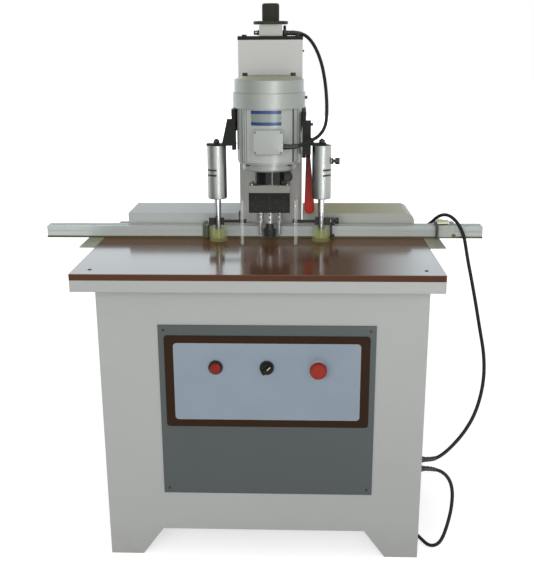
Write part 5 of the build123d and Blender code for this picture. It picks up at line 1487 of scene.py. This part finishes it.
# %% Selector line
selector_face = Vector((0.022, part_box("selector_knob")[0].y, 0.545))
line_middle = 0.0072
line_half = (0.0058, 0.0010)
line_corner = 0.0004
line_rim = ((-0.001, 0.0), (0.0003, 0.0), (0.0005, 0.0003))
slant = Vector((math.sqrt(0.5), 0, math.sqrt(0.5)))
slant_across = Vector((-math.sqrt(0.5), 0, math.sqrt(0.5)))
pale_plastic = plastic("pale_plastic", tone(214, 210, 178), tone(198, 194, 164), 0.4).material
line_rows = []
for out, inset in line_rim:
    ring = rounded_ring(line_half[0] - inset, line_half[1] - inset / 2, line_corner)
    line_rows.append([
        selector_face + slant * (line_middle + across) + slant_across * up - to_back * out
        for across, up in ring])
selector_line = piece("selector_line", loft(bmesh.new(), line_rows), pale_plastic)
print("selector line", 2 * line_half[0], "m long")

# %% [markdown]
# Now each piece is attached to the body it moves with, and the CAD nodes that the new pieces stand in for
# are hidden. The motor's cable goes to no body: its place is baked into its points.

# %% Bodies
for made in (loop_cable, mains_lead, loop_boot, cabinet_boot, mains_boot, plug_boot, plug_body, plug_pins,
             coil_tie, elbow_boot, frame_screws, gland_set, brass_set, plated_set):
    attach(made, "frame")
for made in (motor_boot, head_screws, nameplate, rivets, terminal_lid):
    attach(made, "head")
for body, made in grubs.items():
    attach(made, body)
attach(guard_screws, "clamps")
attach(knob_ribs, "depth_knob")
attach(selector_line, "selector_knob")
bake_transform(motor_cable)

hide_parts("motor_cable")
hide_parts("loop_cable")
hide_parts("mains_lead", "mains_coil")
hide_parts("mains_plug")
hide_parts("frame_screws")
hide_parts("head_screws")
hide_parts("glands")

# %% [markdown]
# The stage: a pale floor that keeps a soft shadow and fades to white with distance, and a white surround.
# The floor glows for the camera, for mirrors and for clear sheets only, so it adds no light of its own. The
# surround is white to those too, and lights the machine with less than half of that.

# %% Floor and surround
floor_glow = 0.56
floor_fade = 0.08
floor_radius = 14.0
floor_grey = (0.86, 0.86, 0.86, 1.0)
sky_light = 0.46
sight_rays = ("Is Camera Ray", "Is Glossy Ray", "Is Transmission Ray")


def straight_sight(shader_tree):
    """1 on rays that come from the camera, a mirror or a clear sheet, and 0 on rays that carry light."""
    first, second, third = [shader_tree.node("ShaderNodeLightPath", {}, {}, label) for label in sight_rays]
    return first.least(second).least(third)


floor_paint = Finish("floor_paint", roughness=1.0, specular_ior_level=0.0, emission_strength=1.0)
floor_x = floor_paint.axis("X")
floor_y = floor_paint.axis("Y")
away = (floor_x * floor_x + floor_y * floor_y) ** 0.5
floor_paint.feed(base_color=floor_grey)
floor_paint.feed(emission_color=straight_sight(floor_paint) * (floor_glow + away * floor_fade))
floor_shape = bmesh.new()
bmesh.ops.create_circle(floor_shape, cap_ends=True, segments=96, radius=floor_radius)
floor = piece("floor", floor_shape, floor_paint.material)

surround = bpy.data.worlds.new("surround")
surround.use_nodes = True
scene.world = surround
sky = Tree(surround.node_tree)
background = sky.tree.nodes["Background"]
background.inputs["Color"].default_value = (1.0, 1.0, 1.0, 1.0)
sky.join(straight_sight(sky) * (1 - sky_light) + sky_light, background.inputs["Strength"])
print("floor", 2 * floor_radius, "m across")

# %% [markdown]
# A broad lamp behind the camera lights all that the camera sees, and mirrors don't show it. A narrow one on
# the right gives form.


# %% Lamps
def softbox(name, place, aim, wide, tall, watts):
    data = bpy.data.lights.new(name, "AREA")
    data.shape = "RECTANGLE"
    data.size = wide
    data.size_y = tall
    data.energy = watts
    lamp = link(name, data)
    lamp.location = place
    lamp.rotation_euler = (Vector(aim) - Vector(place)).to_track_quat("-Z", "Y").to_euler()
    return lamp


front_lamp = softbox("front_lamp", (-0.8, -3.5, 1.6), (0.0, 0.0, 0.9), 2.6, 1.6, 58)
front_lamp.visible_glossy = False
softbox("key_lamp", (0.85, -2.7, 1.55), (0.0, 0.0, 1.0), 0.24, 1.8, 14)
print("lamps", len(bpy.data.lights))

# %% [markdown]
# Cards that are seen only in mirrors do the rest: a bright one on the right that puts an upright highlight
# on round metal, a dark one on the left, and a wide bright one behind the machine, with a dark gap that
# lets the table's brown show. A photographed room would do this too, but cards can be moved one by one.

# %% Cards
black = (0.0, 0.0, 0.0, 1.0)
dark_light = (0.12, 0.12, 0.12, 1.0)
bright_light = (22.0, 22.0, 22.0, 1.0)
rear_light = (1.94, 2.20, 2.32, 1.0)
gap_light = (0.16, 0.15, 0.13, 1.0)
gap_left = -0.06
gap_right = 0.44
left_soft = 0.16
right_soft = 0.44


def glow(name, light):
    return Finish(
        name, specular_ior_level=0.0, emission_strength=1.0, base_color=black, emission_color=light)


def card(name, finish, start, end, low, high):
    """A flat upright card from one place on the floor plan to another, which only mirrors show."""
    spots = [(*start, low), (*end, low), (*end, high), (*start, high)]
    shape = bmesh.new()
    shape.faces.new([shape.verts.new(spot) for spot in spots])
    made = piece(name, shape, finish.material)
    made.visible_camera = False
    made.visible_diffuse = False
    made.visible_shadow = False
    made.visible_transmission = False


rear_card = glow("rear_card", rear_light)
rear_x = rear_card.axis("X")
past_gap = (gap_left - rear_x).ramp(0.0, left_soft) + rear_x.ramp(gap_right, right_soft)
rear_card.feed(emission_color=rear_card.mix(past_gap, gap_light, rear_light))
card("right_card", glow("bright_card", bright_light), (1.05, -2.85), (1.3, -2.85), 0.2, 0.95)
card("left_card", glow("dark_card", dark_light), (-1.3, -2.5), (-2.7, -0.1), 0.4, 2.4)
card("rear_card", rear_card, (-4.0, 2.8), (4.0, 2.8), 1.0, 2.6)
print("gap in the rear card", round(gap_right - gap_left, 2), "m")

# %% [markdown]
